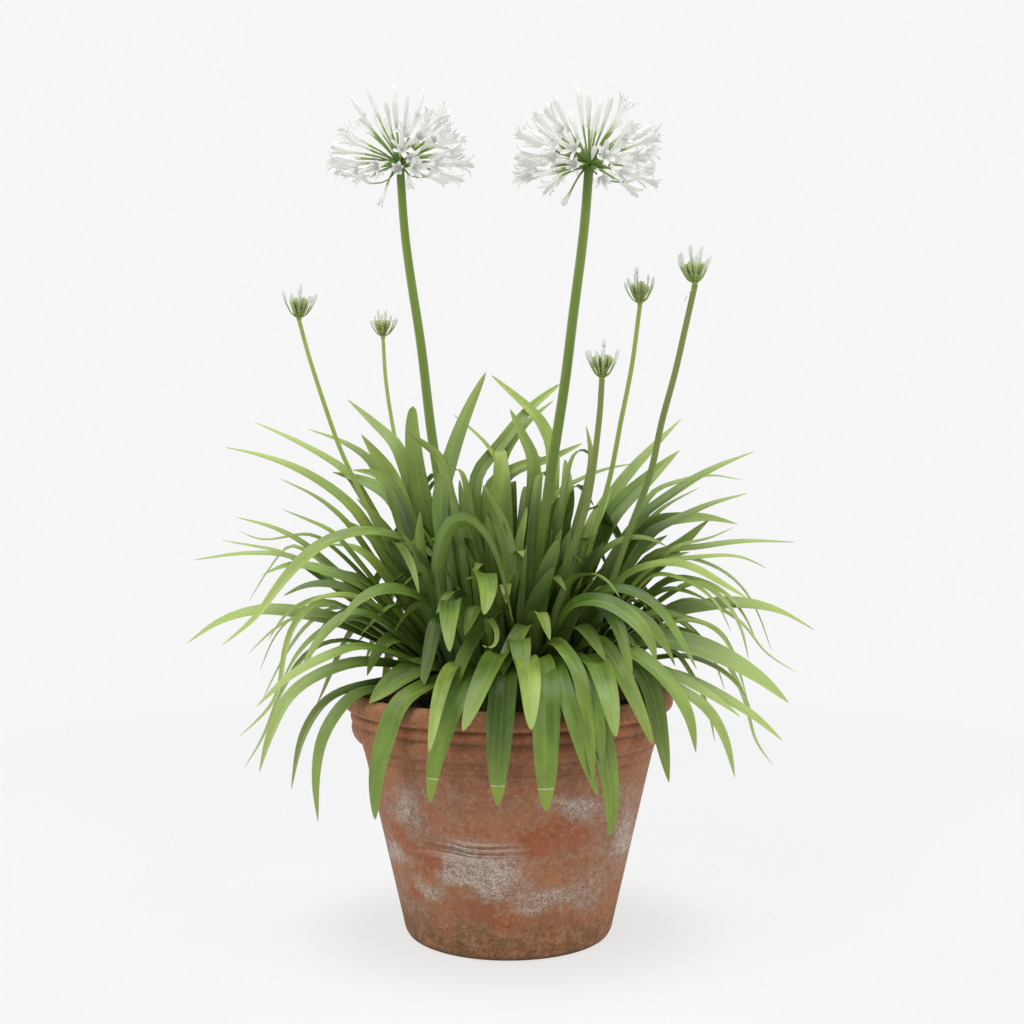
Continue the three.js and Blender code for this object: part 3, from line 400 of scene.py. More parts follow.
# ---------------------------------------------------------------- meshes
class Skin:
    """The points and faces of one piece, in mm, with what its material reads at each point:
    look is a colour (four shares from 0 to 1) and grain is a place on the surface, in metres."""

    def __init__(self):
        self.points, self.quads, self.caps, self.looks, self.grains = [], [], [], [], []
        self.count = 0

    def tube(self, rings, look=(0, 0, 0, 1), grain=(0, 0, 0)):
        """Rings of the same number of points, joined one after another and closed at both ends. A
        part of look or grain is one number, or one for each ring, each place round it, or both."""
        rows, sides = rings.shape[:2]
        index = self.count + np.arange(rows * sides).reshape(rows, sides)
        onward = np.roll(index, -1, axis=1)
        quads = np.stack((index[:-1], onward[:-1], onward[1:], index[1:]), axis=-1)
        self.quads.append(quads.reshape(-1, 4))
        self.caps += [index[0][::-1].tolist(), index[-1].tolist()]
        self.points.append(rings.reshape(-1, 3))
        for kept, parts in ((self.looks, look), (self.grains, grain)):
            spread = [np.broadcast_to(part, (rows, sides)).ravel() for part in parts]
            kept.append(np.stack(spread, axis=-1))
        self.count += rows * sides

    def piece(self, name, material, slot, replaced=(), sharp=50):
        points = np.concatenate(self.points)
        mesh = shell(name, points, np.concatenate(self.quads).tolist() + self.caps, sharp)
        look = mesh.attributes.new("look", "FLOAT_COLOR", "POINT")
        look.data.foreach_set("color", np.concatenate(self.looks).astype(np.float32).ravel())
        grain = mesh.attributes.new("grain", "FLOAT_VECTOR", "POINT")
        grain.data.foreach_set("vector", np.concatenate(self.grains).astype(np.float32).ravel())
        finished(name, mesh, material, replaced)


def shell(name, points, faces, sharp):
    """A smooth mesh of points in mm, with its edges sharp from an angle in degrees."""
    mesh = bpy.data.meshes.new(name)
    mesh.from_pydata((points.reshape(-1, 3) * MM).tolist(), [], faces)
    mesh.shade_smooth()
    mesh.set_sharp_from_angle(angle=math.radians(sharp))
    return mesh


def shown(name, data):
    made = bpy.data.objects.new(name, data)
    bpy.context.scene.collection.objects.link(made)
    return made


def finished(name, mesh, material, replaced=()):
    """Makes the mesh a piece that rides on the root, stands for solids and has its finish."""
    mesh.materials.append(material)
    made = shown(name, mesh)
    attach(made, "root")
    if replaced:
        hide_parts(*replaced)


def round_rings(centres, along, radii, sides):
    """Circles across a path, each facing along it."""
    side = sideways(along)
    other = np.cross(along, side)
    angle = circle(sides)[None, :, None]
    spread = np.cos(angle) * side[:, None] + np.sin(angle) * other[:, None]
    return centres[:, None] + spread * np.asarray(radii)[:, None, None]


# ---------------------------------------------------------------- materials
def tint(red, green, blue):
    """A colour given in display bytes as the linear colour that shaders take."""
    values = [c / 255 for c in (red, green, blue)]
    return tuple(c / 12.92 if c < 0.04045 else ((c + 0.055) / 1.055) ** 2.4 for c in values) + (1.0,)


class Field:
    """A number that varies over a surface, with the arithmetic of a plain number."""

    def __init__(self, finish, socket):
        self.finish, self.socket = finish, socket

    def __add__(self, other):
        return self.finish.math("ADD", self, other)

    def __sub__(self, other):
        return self.finish.math("SUBTRACT", self, other)

    def __rsub__(self, other):
        return self.finish.math("SUBTRACT", other, self)

    def __mul__(self, other):
        return self.finish.math("MULTIPLY", self, other)

    def __abs__(self):
        return self.finish.math("ABSOLUTE", self)

    def at_least(self, other):
        return self.finish.math("MAXIMUM", self, other)

    def at_most(self, other):
        return self.finish.math("MINIMUM", self, other)

    def span(self, low, high):
        """0 at low and 1 at high, with a smooth rise between."""
        made = self.finish.node("MapRange", Value=self, From_Min=low, From_Max=high)
        made.interpolation_type = "SMOOTHSTEP"
        return Field(self.finish, made.outputs[0])

    __radd__ = __add__


class Finish:
    """A material that is built up coat by coat. Colours of three numbers are in display bytes."""

    def __init__(self, name):
        self.material = bpy.data.materials.new(name)
        self.material.use_nodes = True
        self.tree = self.material.node_tree
        self.shader = next(n for n in self.tree.nodes if n.type == "BSDF_PRINCIPLED")
        self.colour = None

    def feed(self, socket, value):
        value = value.socket if isinstance(value, Field) else value
        if isinstance(value, bpy.types.NodeSocket):
            self.tree.links.new(value, socket)
        else:
            bytes_given = socket.type == "RGBA" and len(value) == 3
            socket.default_value = tint(*value) if bytes_given else value

    def node(self, kind, **inputs):
        made = self.tree.nodes.new("ShaderNode" + kind)
        for name, value in inputs.items():
            self.feed(made.inputs[name.replace("_", " ")], value)
        return made

    def attribute(self, name):
        made = self.node("Attribute")
        made.attribute_name = name
        return made.outputs

    def look(self):
        """What the piece's points hold in look, as four numbers."""
        outputs = self.attribute("look")
        return *self.split(outputs["Color"]), Field(self, outputs["Alpha"])

    def grain(self):
        return self.attribute("grain")["Vector"]

    def place(self):
        return self.node("TexCoord").outputs["Object"]

    def split(self, vector):
        return [Field(self, output) for output in self.node("SeparateXYZ", Vector=vector).outputs]

    def operate(self, kind, operation, values):
        made = self.node(kind)
        made.operation = operation
        for socket, value in zip(made.inputs, values):
            self.feed(socket, value)
        return made.outputs

    def math(self, operation, a, b=0.0):
        return Field(self, self.operate("Math", operation, (a, b))[0])

    def vector(self, operation, a, b):
        return self.operate("VectorMath", operation, (a, b))[0]

    def length(self, vector):
        return Field(self, self.operate("VectorMath", "LENGTH", (vector,))["Value"])

    def noise(self, place, scale, detail=3.0, roughness=0.5, distortion=0.0):
        """Noise of a scale, or of a scale in each direction."""
        if isinstance(scale, tuple):
            place, scale = self.vector("MULTIPLY", place, scale), 1.0
        made = self.node("TexNoise", Vector=place, Scale=scale, Detail=detail, Roughness=roughness,
                         Distortion=distortion)
        return Field(self, made.outputs[0])

    def shifted(self, place, scale, amount):
        """The place moved about by a noise, by half of amount at most."""
        noise = self.node("TexNoise", Vector=place, Scale=scale, Detail=3.0)
        centred = self.vector("SUBTRACT", noise.outputs[1], (0.5, 0.5, 0.5))
        return self.vector("ADD", place, self.vector("MULTIPLY", centred, (amount, amount, amount)))

    def blob(self, place, centre, radii):
        """1 at a place in mm and 0 at the ellipsoid of those radii about it."""
        away = self.vector("SUBTRACT", place, [c * MM for c in centre])
        sized = self.vector("MULTIPLY", away, [1 / (r * MM) for r in radii])
        return self.length(sized).span(1.15, 0.1)

    def mix(self, share, a, b):
        made = self.node("Mix")
        made.data_type = "RGBA"
        for index, value in ((0, share), (6, a), (7, b)):
            self.feed(made.inputs[index], value)
        return made.outputs[2]

    def coat(self, colour, share):
        """Lays a colour over those before it, by a share at each point."""
        self.colour = self.mix(share, self.colour, colour)

    def ramp(self, value, *stops):
        made = self.node("ValToRGB", Fac=value)
        elements = made.color_ramp.elements
        while len(elements) < len(stops):
            elements.new(0.5)
        for element, (position, colour) in zip(elements, stops):
            element.position = position
            element.color = tint(*colour)
        return made.outputs[0]

    def done(self, roughness, height=None, strength=0.3, depth=0.001, **sockets):
        """The material in its coats, with its roughness and the relief of a height in metres."""
        sockets.update(Base_Color=self.colour, Roughness=roughness)
        for name, value in sockets.items():
            self.feed(self.shader.inputs[name.replace("_", " ")], value)
        if height is not None:
            bump = self.node("Bump", Strength=strength, Distance=depth, Height=height)
            self.feed(self.shader.inputs["Normal"], bump.outputs[0])
        return self.material


def leaf_finish():
    """look: share of the length, the leaf's own tone, place across, 1 on the underside.
    grain: metres along and across, and the crease's distance from the root (0 without one)."""
    f = Finish("leaf_green")
    share, tone, across, under = f.look()
    grain = f.grain()
    along, _, crease = f.split(grain)
    veins = f.noise(grain, (7, 420, 50), 2.0)
    streaks = f.noise(grain, (6, 150, 30), 2.0)
    cloud = f.noise(grain, (16, 40, 17), 3.0, 0.55)
    deep = f.ramp(tone, (0.0, (50, 74, 22)), (0.5, (78, 106, 30)), (1.0, (112, 136, 42)))
    light = f.ramp(tone, (0.0, (88, 118, 40)), (0.5, (118, 148, 50)), (1.0, (166, 184, 86)))
    f.colour = f.mix(cloud.span(0.34, 0.7), deep, light)
    f.coat((156, 178, 92), veins.span(0.42, 0.7) * 0.18)
    f.coat((66, 92, 26), streaks.span(0.5, 0.3) * 0.24)
    middle = abs(across - 0.5)
    midrib = middle.span(0.045, 0.0) * (share.span(1.0, 0.5) * 0.16)
    f.coat((168, 186, 108), midrib)
    # Painted shade: the blade darkens towards its foot, deep in the clump.
    foot = share.span(0.4, 0.03)
    f.coat((44, 62, 18), foot * 0.8)
    tip = share.span(0.6, 1.0)
    f.coat((146, 166, 66), tip * 0.35)
    dry = share.span(0.98, 1.0) * tone.span(0.5, 0.8)
    f.coat((150, 122, 70), dry)
    # The crease is a pale line, and the tip beyond it has turned yellower.
    past = (along - crease) + middle * 0.0016
    creased = crease.span(0.001, 0.002)
    f.coat((146, 164, 60), past.span(0.0, 0.002) * creased * 0.5)
    line = abs(past).span(0.0008, 0.0002) * creased
    f.coat((204, 210, 164), line * streaks.span(0.15, 0.6))
    f.coat((134, 156, 84), under * 0.26)
    # Painted shade: leaves are darker low in the clump. Painted light: they are paler the further out and
    # the higher up they are.
    place = f.place()
    height = f.split(place)[2]
    reach = f.length(f.vector("MULTIPLY", place, (1, 0.85, 0)))
    inside = reach.span(0.19, 0.06) * height.span(0.52, 0.38)
    f.coat((40, 60, 14), inside * 0.4)
    outside = reach.span(0.14, 0.3).at_least(height.span(0.42, 0.6) * 0.6)
    f.coat((180, 200, 120), outside * 0.66)
    return f.done(veins * 0.12 + 0.36, veins + streaks, 0.18, 0.0004, Specular_IOR_Level=0.38)


def stem_finish(name, low, high, shade, neck):
    """look: share of the height, the stem's tone. grain: metres up and round."""
    f = Finish(name)
    share, tone, _, _ = f.look()
    grain = f.grain()
    streaks = f.noise(grain, (9, 700, 1), 3.0, 0.6)
    cloud = f.noise(grain, (18, 60, 1))
    f.colour = f.mix(share, low, high)
    f.coat(neck, share.span(0.9, 0.99) * 0.8)
    f.coat(shade, streaks.span(0.4, 0.7) * 0.35)
    f.coat((140, 160, 70), cloud.span(0.5, 0.75) * 0.16)
    f.coat((156, 172, 84), tone * 0.1)
    return f.done(cloud * 0.2 + 0.36, streaks, 0.2, 0.0003)


def petal_finish():
    """look: share from the tube to the tip, tone, place across. grain: metres along and across."""
    f = Finish("petal_white")
    share, tone, across, _ = f.look()
    veins = f.noise(f.grain(), (30, 900, 60), 2.0)
    f.colour = f.mix(tone, (214, 216, 210), (244, 244, 243))
    midrib = abs(across - 0.5).span(0.14, 0.0) * share.span(1.0, 0.3)
    f.coat((206, 209, 198), midrib * 0.22)
    f.coat((206, 207, 202), veins.span(0.5, 0.75) * 0.15)
    f.coat((160, 176, 112), share.span(0.34, 0.0) * 0.7)
    # Painted light: the petals glow a little, most of all in their tubes, for the light that comes through
    # them.
    glow = share.span(0.8, 0.4) * 0.05 + 0.05
    return f.done(0.55, veins, 0.2, 0.0003, Specular_IOR_Level=0.3, Emission_Strength=glow,
                  Emission_Color=(236, 238, 236))


def bud_finish(name, base, tip, reach):
    """look: share from the stalk to the point, tone. grain: metres along and round."""
    f = Finish(name)
    share, tone, _, _ = f.look()
    streaks = f.noise(f.grain(), (40, 900, 70), 2.0)
    f.colour = f.mix((share + (tone - 0.5) * 0.25).span(0.0, reach), base, tip)
    f.coat((176, 184, 156), streaks.span(0.48, 0.7) * 0.3)
    f.coat((238, 238, 236), tone * 0.2)
    return f.done(0.45, streaks, 0.25, 0.0003, Specular_IOR_Level=0.4)


# Places on the pot: centre and radii in mm, and strength. Lime has bloomed at the first ones, the
# bare clay shows at the second ones, and the wall is scratched at the last.
LIME_PATCHES = [
    ((-105, -95, 160), (26, 60, 30), 0.85), ((-120, -60, 97), (22, 50, 17), 1.0),
    ((-83, -95, 76), (30, 60, 17), 1.0), ((-47, -118, 97), (40, 60, 24), 1.0),
    ((-8, -125, 88), (42, 60, 22), 0.95), ((30, -118, 66), (36, 60, 18), 0.9),
    ((-20, -125, 106), (62, 70, 34), 0.55), ((74, -95, 66), (44, 60, 24), 0.65),
    ((66, -125, 160), (46, 60, 20), 0.8), ((124, -55, 118), (26, 60, 50), 0.75),
    ((20, 140, 120), (120, 90, 35), 0.9), ((-100, 100, 70), (70, 90, 30), 0.8),
    ((110, 90, 160), (70, 90, 30), 0.8),
]
ORANGE_PATCHES = [
    ((44, -125, 131), (56, 80, 21), 1.0), ((-108, -80, 125), (26, 60, 22), 1.0),
    ((-84, -100, 108), (26, 60, 16), 0.9), ((-17, -112, 49), (52, 60, 17), 1.0),
    ((-98, -72, 60), (20, 50, 20), 0.9), ((0, -140, 178), (90, 60, 14), 0.5),
    ((90, 100, 90), (60, 80, 25), 0.9), ((-60, 120, 150), (60, 80, 22), 0.9),
]
SCARS = (-40, -125, 118), (66, 90, 17)
# Bands on the rim: dark ones in the grooves and under the beads, partly dirt that the grooves hold and
# partly painted shade, and pale ones on the beads, partly clay worn bare and partly painted highlight; each
# with the patches it takes and its colour. A band's height and half height are in mm, and then its
# strength.
RIM_BANDS = [
    ((0.25, 0.55), (84, 50, 34), [(240.5, 2, 0.55), (228.5, 2.4, 0.45), (208, 4, 0.35), (196, 2, 0.3)]),
    ((0.3, 0.6), (190, 116, 78), [(245, 2.4, 0.5), (235, 3.5, 0.55), (221, 4, 0.35)]),
]


def terracotta_finish():
    f = Finish("weathered_terracotta")
    place = f.place()
    height = f.split(place)[2]
    wide = f.noise(place, 11.0, 5.0, 0.62, 0.4)
    patch = f.noise(place, 42.0, 6.0, 0.7)
    fine = f.noise(place, 160.0, 5.0, 0.75)
    sand = f.noise(place, 760.0, 3.0, 0.7)
    warped = f.shifted(place, 26.0, 0.052)

    def patches(table):
        return sum(f.blob(warped, centre, radii) * strength for centre, radii, strength in table)

    f.colour = f.ramp(wide, (0.3, (132, 84, 54)), (0.46, (152, 98, 64)), (0.6, (164, 108, 72)),
                      (0.76, (146, 104, 76)))
    orange = patches(ORANGE_PATCHES).span(0.0, 0.9) * patch.span(0.2, 0.5)
    f.coat((156, 80, 42), orange * 0.85)
    f.coat((128, 90, 68), patch.span(0.5, 0.68) * 0.35)
    f.coat((184, 142, 114), fine.span(0.5, 0.66) * 0.4)
    f.coat((100, 66, 46), fine.span(0.47, 0.32) * 0.5)
    # Lime: a pinkish grey wash, brushed sideways and thicker toward the middle of each patch, with
    # paler grains and dark specks in it. It leaves the rim, the foot and the barest clay free.
    brushed = f.noise(f.shifted(place, 14.0, 0.03), (16, 16, 60), 4.0, 0.6)
    body = height.span(0.205, 0.165) * height.span(0.004, 0.05)
    bloom = patches(LIME_PATCHES) + wide.span(0.62, 0.36) * 0.4
    bloom = bloom + (patch - 0.5) * 0.9 + (brushed - 0.5) * 1.1
    bloom = bloom.at_least(0.0).at_most(1.1) * body * (1.0 - orange * 0.6)
    cast = bloom.span(-0.25, 1.25)
    f.coat((174, 152, 136), cast * 0.86)
    grains = fine * 0.4 + sand * 0.75
    salt = (grains + bloom * 0.1).span(0.64, 0.78) * (cast * 0.5 + 0.12)
    f.coat((212, 204, 194), salt)
    soot = grains.span(0.565, 0.5) * (bloom.span(0.0, 0.7) + 0.35)
    f.coat((92, 68, 54), soot * 0.45)
    # Dirt and painted shade in the grooves and under the beads, worn clay and painted highlights on the
    # beads.
    for patchy, colour, bands in RIM_BANDS:
        for centre, half, strength in bands:
            band = abs(height - centre * MM).span(half * MM, 0.3 * half * MM)
            f.coat(colour, band * patch.span(*patchy) * strength)
    # A film on the rim's top, and damp, moss and lichen that rise from the foot.
    film = height.span(0.252, 0.26) * fine.span(0.42, 0.6)
    f.coat((150, 120, 84), film * 0.5)
    stain = height.span(0.09, 0.0) * patch.span(0.38, 0.6)
    f.coat((112, 84, 50), stain * 0.6)
    moss = height.span(0.055, 0.0) * grains.span(0.58, 0.51)
    f.coat((74, 60, 34), moss * 0.75)
    lichen = height.span(0.07, 0.01) * grains.span(0.64, 0.7)
    f.coat((176, 156, 108), lichen * 0.45)
    f.coat((58, 42, 30), height.span(0.006, 0.0) * 0.75)
    pits = f.noise(place, 330.0, 3.0, 0.7).span(0.66, 0.74)
    f.coat((64, 42, 34), pits * 0.7)
    lines = f.noise(f.shifted(place, 9.0, 0.02), (7, 7, 300), 2.0, 0.55)
    scarred = f.blob(place, *SCARS)
    scars = lines.span(0.54, 0.6) * scarred
    f.coat((110, 70, 58), scars * 0.7)
    f.coat((204, 186, 172), lines.span(0.47, 0.42) * scarred * 0.55)
    rings = f.noise(place, (5, 5, 330), 3.0, 0.6)
    relief = (sand * 0.35 + fine * 0.5 + rings * 0.35) - (pits * 0.5 + scars)
    return f.done(cast * 0.08 + 0.84, relief, 0.55, 0.0016, Specular_IOR_Level=0.25)


def soil_finish():
    f = Finish("potting_soil")
    place = f.place()
    lump = f.noise(place, 120.0, 6.0, 0.7)
    grit = f.noise(place, 520.0, 4.0, 0.7)
    f.colour = f.ramp(lump, (0.3, (26, 19, 14)), (0.55, (50, 37, 28)), (0.75, (74, 56, 42)))
    f.coat((104, 84, 64), grit.span(0.6, 0.75) * 0.4)
    return f.done(0.95, lump + grit, 0.8, 0.004, Specular_IOR_Level=0.2)


def anther_finish():
    f = Finish("anther_ochre")
    dust = f.noise(f.place(), 1800.0, 3.0, 0.6)
    f.colour = f.mix(dust, (164, 154, 118), (204, 194, 156))
    return f.done(0.8, dust, 0.5, 0.0003)


LEAF = leaf_finish()
SCAPE = stem_finish("scape_green", (92, 120, 34), (108, 134, 38), (72, 100, 24), (68, 96, 20))
OLIVE_SCAPE = stem_finish("olive_scape_green", (96, 118, 42), (118, 132, 66), (84, 102, 40),
                          (112, 134, 58))
THIN_SCAPE = stem_finish("bud_scape_green", (122, 150, 58), (148, 172, 80), (104, 132, 44),
                         (142, 164, 72))
CUP_STALK = stem_finish("cup_stalk_green", (116, 144, 50), (158, 172, 104), (92, 120, 36),
                        (176, 184, 134))
PEDICEL = stem_finish("pedicel_green", (62, 98, 20), (126, 150, 62), (48, 82, 18), (156, 168, 112))
PETAL = petal_finish()
BUD = bud_finish("bud_white", (178, 186, 146), (228, 228, 224), 0.32)
YOUNG_BUD = bud_finish("young_bud", (150, 168, 96), (218, 219, 214), 0.42)
GREEN_BUD = bud_finish("green_bud", (112, 140, 44), (176, 190, 116), 1.1)
ANTHER = anther_finish()
TERRACOTTA = terracotta_finish()
SOIL = soil_finish()


# ---------------------------------------------------------------- pot and soil
# The closed outline of the pot's wall: radius, height and how far each corner is rounded.
POT_PROFILE = [
    (DRAIN_RADIUS, 0, 1), (BASE_RADIUS, 0, 2), (113.5, 6, 4), (156, 190, 4), (158.6, 199, 3),
    (160.4, 206, 3), (168, 212.5, 5), (171.8, 220, 5), (170.6, 228.5, 2), (172.2, 232.5, 2.5),
    (172.6, 237, 2.5), (171, 241, 1.6), (178.4, 245, 3), (RIM_RADIUS, 253, 5), (176, 261, 4),
    (167, RIM_HEIGHT, 5), (160.5, 257, 4), (157, 240, 4), (100, FLOOR_THICKNESS, 4),
    (DRAIN_RADIUS, FLOOR_THICKNESS, 1),
]
CORNER_STEPS = 5
POT_SIDES = 160
OUTER_RADIUS = 103
SOIL_SIDES = 96
SOIL_RINGS = 40
SOIL_DEPTH = 30
CRUMBS = 420
CRUMB_SIDES = 7
CRUMB_RINGS = ((-0.6, 0.7), (0.1, 1.0), (0.7, 0.62))


def rounded(profile):
    """The points of a closed outline, with each corner eased by its rounding."""
    made = []
    for i, (radius, height, ease) in enumerate(profile):
        here = np.array((radius, height), float)
        ends = []
        for other in (profile[i - 1], profile[(i + 1) % len(profile)]):
            away = np.array(other[:2], float) - here
            length = np.linalg.norm(away)
            ends.append(here + away / length * min(ease, 0.48 * length))
        for k in range(CORNER_STEPS + 1):
            t = k / CORNER_STEPS
            made.append((1 - t) ** 2 * ends[0] + 2 * t * (1 - t) * here + t**2 * ends[1])
    return np.array(made)


def make_pot():
    radius, height = rounded(POT_PROFILE).T
    angle = circle(POT_SIDES)[:, None]
    # A hand-thrown wall is never quite round: it dips inwards by up to half a millimetre.
    dip = 0.25 * (2 + np.sin(3 * angle + 0.7) + np.sin(5 * angle + 2.1))
    ripple = 0.16 * (1 + np.sin(height * 0.55 + 1.3))
    radius = radius - np.where(radius > OUTER_RADIUS, 0.5 * dip + ripple, 0)
    points = np.stack((radius * np.cos(angle), radius * np.sin(angle),
                       np.broadcast_to(height, radius.shape)), axis=-1)
    index = np.arange(radius.size).reshape(radius.shape)
    around = np.roll(index, -1, axis=0)
    faces = np.stack((index, around, np.roll(around, -1, axis=1), np.roll(index, -1, axis=1)), axis=-1)
    mesh = shell("pot_body", points, faces.reshape(-1, 4).tolist(), 60)
    finished("pot_body", mesh, TERRACOTTA, ["pot"])


def soil_height(x, y):
    """The soil's uneven top, below the plane that stems and leaves rise from."""
    even = np.interp(np.hypot(x, y), (0, 95, SOIL_RADIUS), (SOIL_TOP, SOIL_TOP - 2, SOIL_EDGE))
    lumps = (np.sin(x * 0.11 + 1.7) * np.sin(y * 0.13 + 0.4) + np.sin(x * 0.31 + y * 0.17)
             + 0.7 * np.sin(x * 0.05 - y * 0.37 + 2.0) + 0.5 * np.sin(x * 0.63 + 0.5) * np.sin(y * 0.59))
    return even - 1.2 + 0.55 * lumps


def make_soil():
    reaches = np.append(np.linspace(0.5, SOIL_RADIUS, SOIL_RINGS), SOIL_RADIUS - 6)[:, None]
    x, y = reaches * np.cos(circle(SOIL_SIDES)), reaches * np.sin(circle(SOIL_SIDES))
    z = soil_height(x, y)
    z[-1] = SOIL_EDGE - SOIL_DEPTH
    bed = Skin()
    bed.tube(np.stack((x, y, z), axis=-1))
    bed.piece("soil_bed", SOIL, "soil", ["soil"], sharp=80)

    rand = chance.Random(5)
    crumbs = Skin()
    for _ in range(CRUMBS):
        reach = SOIL_RADIUS * math.sqrt(rand.random()) * 0.985
        spot = polar(reach, rand.uniform(0, 360), 0)
        size = rand.uniform(1.2, 3.6)
        flat = rand.uniform(0.45, 0.9)
        spot[2] = soil_height(spot[0], spot[1]) + 0.2 * size
        angles = circle(CRUMB_SIDES) + rand.random()
        rings = []
        for rise, share in CRUMB_RINGS:
            wobble = np.array([rand.uniform(0.7, 1.25) for _ in angles]) * share * size
            lift = np.full(CRUMB_SIDES, rise * size * flat)
            rings.append(spot + np.stack((wobble * np.cos(angles), wobble * np.sin(angles), lift), axis=-1))
        crumbs.tube(np.array(rings))
    crumbs.piece("soil_crumbs", SOIL, "soil", sharp=30)


# ---------------------------------------------------------------- leaves
ACROSS = np.array((1.0, 0.72, 0.4, 0.12, 0.0, -0.12, -0.4, -0.72, -1.0))
LEAF_ROWS = 30
SIDE_TAPER, DEEP_TAPER, ARCH_TAPER = 0.85, 0.62, 0.8
# A leaf widens from LEAF_FOOT of its width at the root to all of it at WIDE_FROM of its length, and
# narrows again beyond POINT_FROM.
LEAF_FOOT, WIDE_FROM, POINT_FROM = 0.62, 0.55, 0.5
# How a leaf placed by rule rises: shares of its run outward, of its rise and of its sweep.
ARCH_RISE = [(0, 0, 0), (0.16, 0.55, 0), (0.55, 1, 0.4)]
INNER_RISE = [(0, 0, 0), (0.35, 0.6, 0.3), (1, 1, 1)]
# A blade from root to tip, as shares of its length and what it has there: the depth of its channel in
# widths, how far its edges wave, and its thickness in mm.
CHANNEL = (0, 0.1, 0.5, 1.0), (0.34, 0.24, 0.12, 0.05)
WAVE = (0, 0.3, 1), (0, 0.035, 0.014)
THICKNESS = (0, 0.15, 0.7, 1), (2.6, 1.8, 1.1, 0.5)
# The sheath below the root: how far down its rings lie, as shares of its depth, and their width in
# widths of the root.
SHEATH_DEPTH, SHEATH_LEAN = 40, 7
SHEATH_DROPS = np.array((1.0, 0.66, 0.33))
SHEATH_WIDTHS = np.array((0.8, 0.9, 0.97))
LEAF_TONE, TONE_SPREAD, INNER_SHADE = 0.46, 0.24, 0.3


class Leaf:
    """A strap leaf: where it runs, and what sets its blade apart from a plain one."""
    easing, crease, twist, narrowed, shade, tone = 9, 0, 0, 1, 0, None

    def __init__(self, azimuth, width, turn, points, taper, **own):
        self.azimuth, self.width, self.turn = azimuth, width, turn
        self.points, self.taper = points, taper
        vars(self).update(own)


def leaf_width(width, share, taper):
    """A narrow foot, even sides and a point: the higher the taper, the longer the point."""
    foot = LEAF_FOOT + (1 - LEAF_FOOT) * np.sin(np.pi / 2 * np.minimum(share / WIDE_FROM, 1))
    beyond = np.clip((share - POINT_FROM) / (1 - POINT_FROM), 0, 1)
    return width * foot * np.maximum(1 - beyond**2.2, 0) ** taper


def blade_frame(leaf, curve, share, twist):
    """A blade's spine with its sideways and upward directions, at shares of its length."""
    run = unit(level(leaf.points[-1] - leaf.points[0]))
    across = np.array((run[1], -run[0], 0.0))
    along = direction_at(curve, share)
    side = unit(across - along * (along @ across)[:, None])
    up = np.cross(side, along)
    tilt = (math.radians(leaf.turn) * (1 if across[1] >= 0 else -1) + twist)[:, None]
    turned = side * np.cos(tilt) + up * np.sin(tilt)
    return curve(share), turned, np.cross(turned, along)


def add_leaf(skin, leaf, number, tone, rand):
    """One strap leaf: a channelled blade with a keel below and a sheath that goes into the soil."""
    curve = smooth(leaf.points, leaf.easing)
    share = 1 - (1 - np.linspace(0, 1, LEAF_ROWS)) ** 1.3
    phase = rand.uniform(0, 6.28)
    twist = math.radians(rand.uniform(-7, 7)) * share * np.sin(3.4 * share + phase)
    twist = twist + math.radians(leaf.twist) * np.clip((share - 0.25) / 0.5, 0, 1)
    centre, side, up = blade_frame(leaf, curve, share, twist)
    width = leaf_width(leaf.width * leaf.narrowed, share, leaf.taper)
    # The sheath goes on down from the blade's root, upright and clasping.
    drops = SHEATH_DROPS[:, None]
    low = centre[0] - UP * SHEATH_DEPTH * drops - unit(level(centre[0])) * SHEATH_LEAN * drops**1.5
    centre = np.concatenate((low, centre))
    side, up = (np.concatenate((np.repeat(d[:1], len(low), axis=0), d)) for d in (side, up))
    width = np.concatenate((width[0] * SHEATH_WIDTHS, width))[:, None]
    place = np.concatenate((-SHEATH_DROPS * SHEATH_DEPTH, share * curve.length))[:, None]
    share = np.concatenate((np.zeros(len(low)), share))[:, None]
    # Its section: a channelled top with a groove along the middle, a rounded body and a keel.
    a = np.abs(ACROSS)
    wave = np.sin(share * rand.uniform(9, 16) + phase) * np.interp(share, *WAVE)
    top = width * (np.interp(share, *CHANNEL) * (a**1.5 - 0.35) * 0.9 + wave * ACROSS * a)
    top = top - 0.35 * np.exp(-((a / 0.14) ** 2)) * np.minimum(width / 12, 1)
    thick = np.minimum(np.interp(share, *THICKNESS), 0.2 * width + 0.12)
    body = thick * np.sqrt(np.maximum(1 - a**2.2, 0)) + 0.03
    keel = 0.55 * np.exp(-((a / 0.2) ** 2)) * np.minimum(width / 14, 1)
    upper, lower = (centre[:, None] + side[:, None] * (width / 2 * ACROSS)[..., None]
                    + up[:, None] * height[..., None] for height in (top, top - body - keel))
    rings = np.concatenate((lower[:, 1:-1], upper[:, ::-1]), axis=1)
    columns = np.concatenate((ACROSS[1:-1], ACROSS[::-1]))
    under = np.arange(len(columns)) < len(ACROSS) - 2
    # Each leaf takes its own place in the noise of its finish.
    start = number * 0.37
    crease = (curve.length - leaf.crease) * MM + start if leaf.crease else 0
    skin.tube(rings, (share, tone, (columns + 1) / 2, under),
              (place * MM + start, width / 2 * columns * MM + number * 0.11, crease))


def tabled(azimuth, width, turn, root_reach, tip, places, taper):
    """A leaf of the tables: from its root through its places, which are given from the tip down."""
    points = [polar(root_reach, azimuth, ROOT_HEIGHT), *places[::-1]]
    return Leaf(azimuth, width, turn, points, **{"taper": taper, **OWN.get(tip, {})})


def side_leaf(row):
    azimuth, width, turn, root_reach, *grid = row
    places = [on_plane(u, v, azimuth) for u, v in zip(grid[::2], grid[1::2])]
    return tabled(azimuth, width, turn, root_reach, tuple(grid[:2]), places, SIDE_TAPER)


def deep_leaf(row):
    side, width, turn, root_reach, azimuth, *grid = row
    places = [at_reach(*place, side) for place in zip(grid[::3], grid[1::3], grid[2::3])]
    return tabled(azimuth, width, turn, root_reach, tuple(grid[:2]), places, DEEP_TAPER)


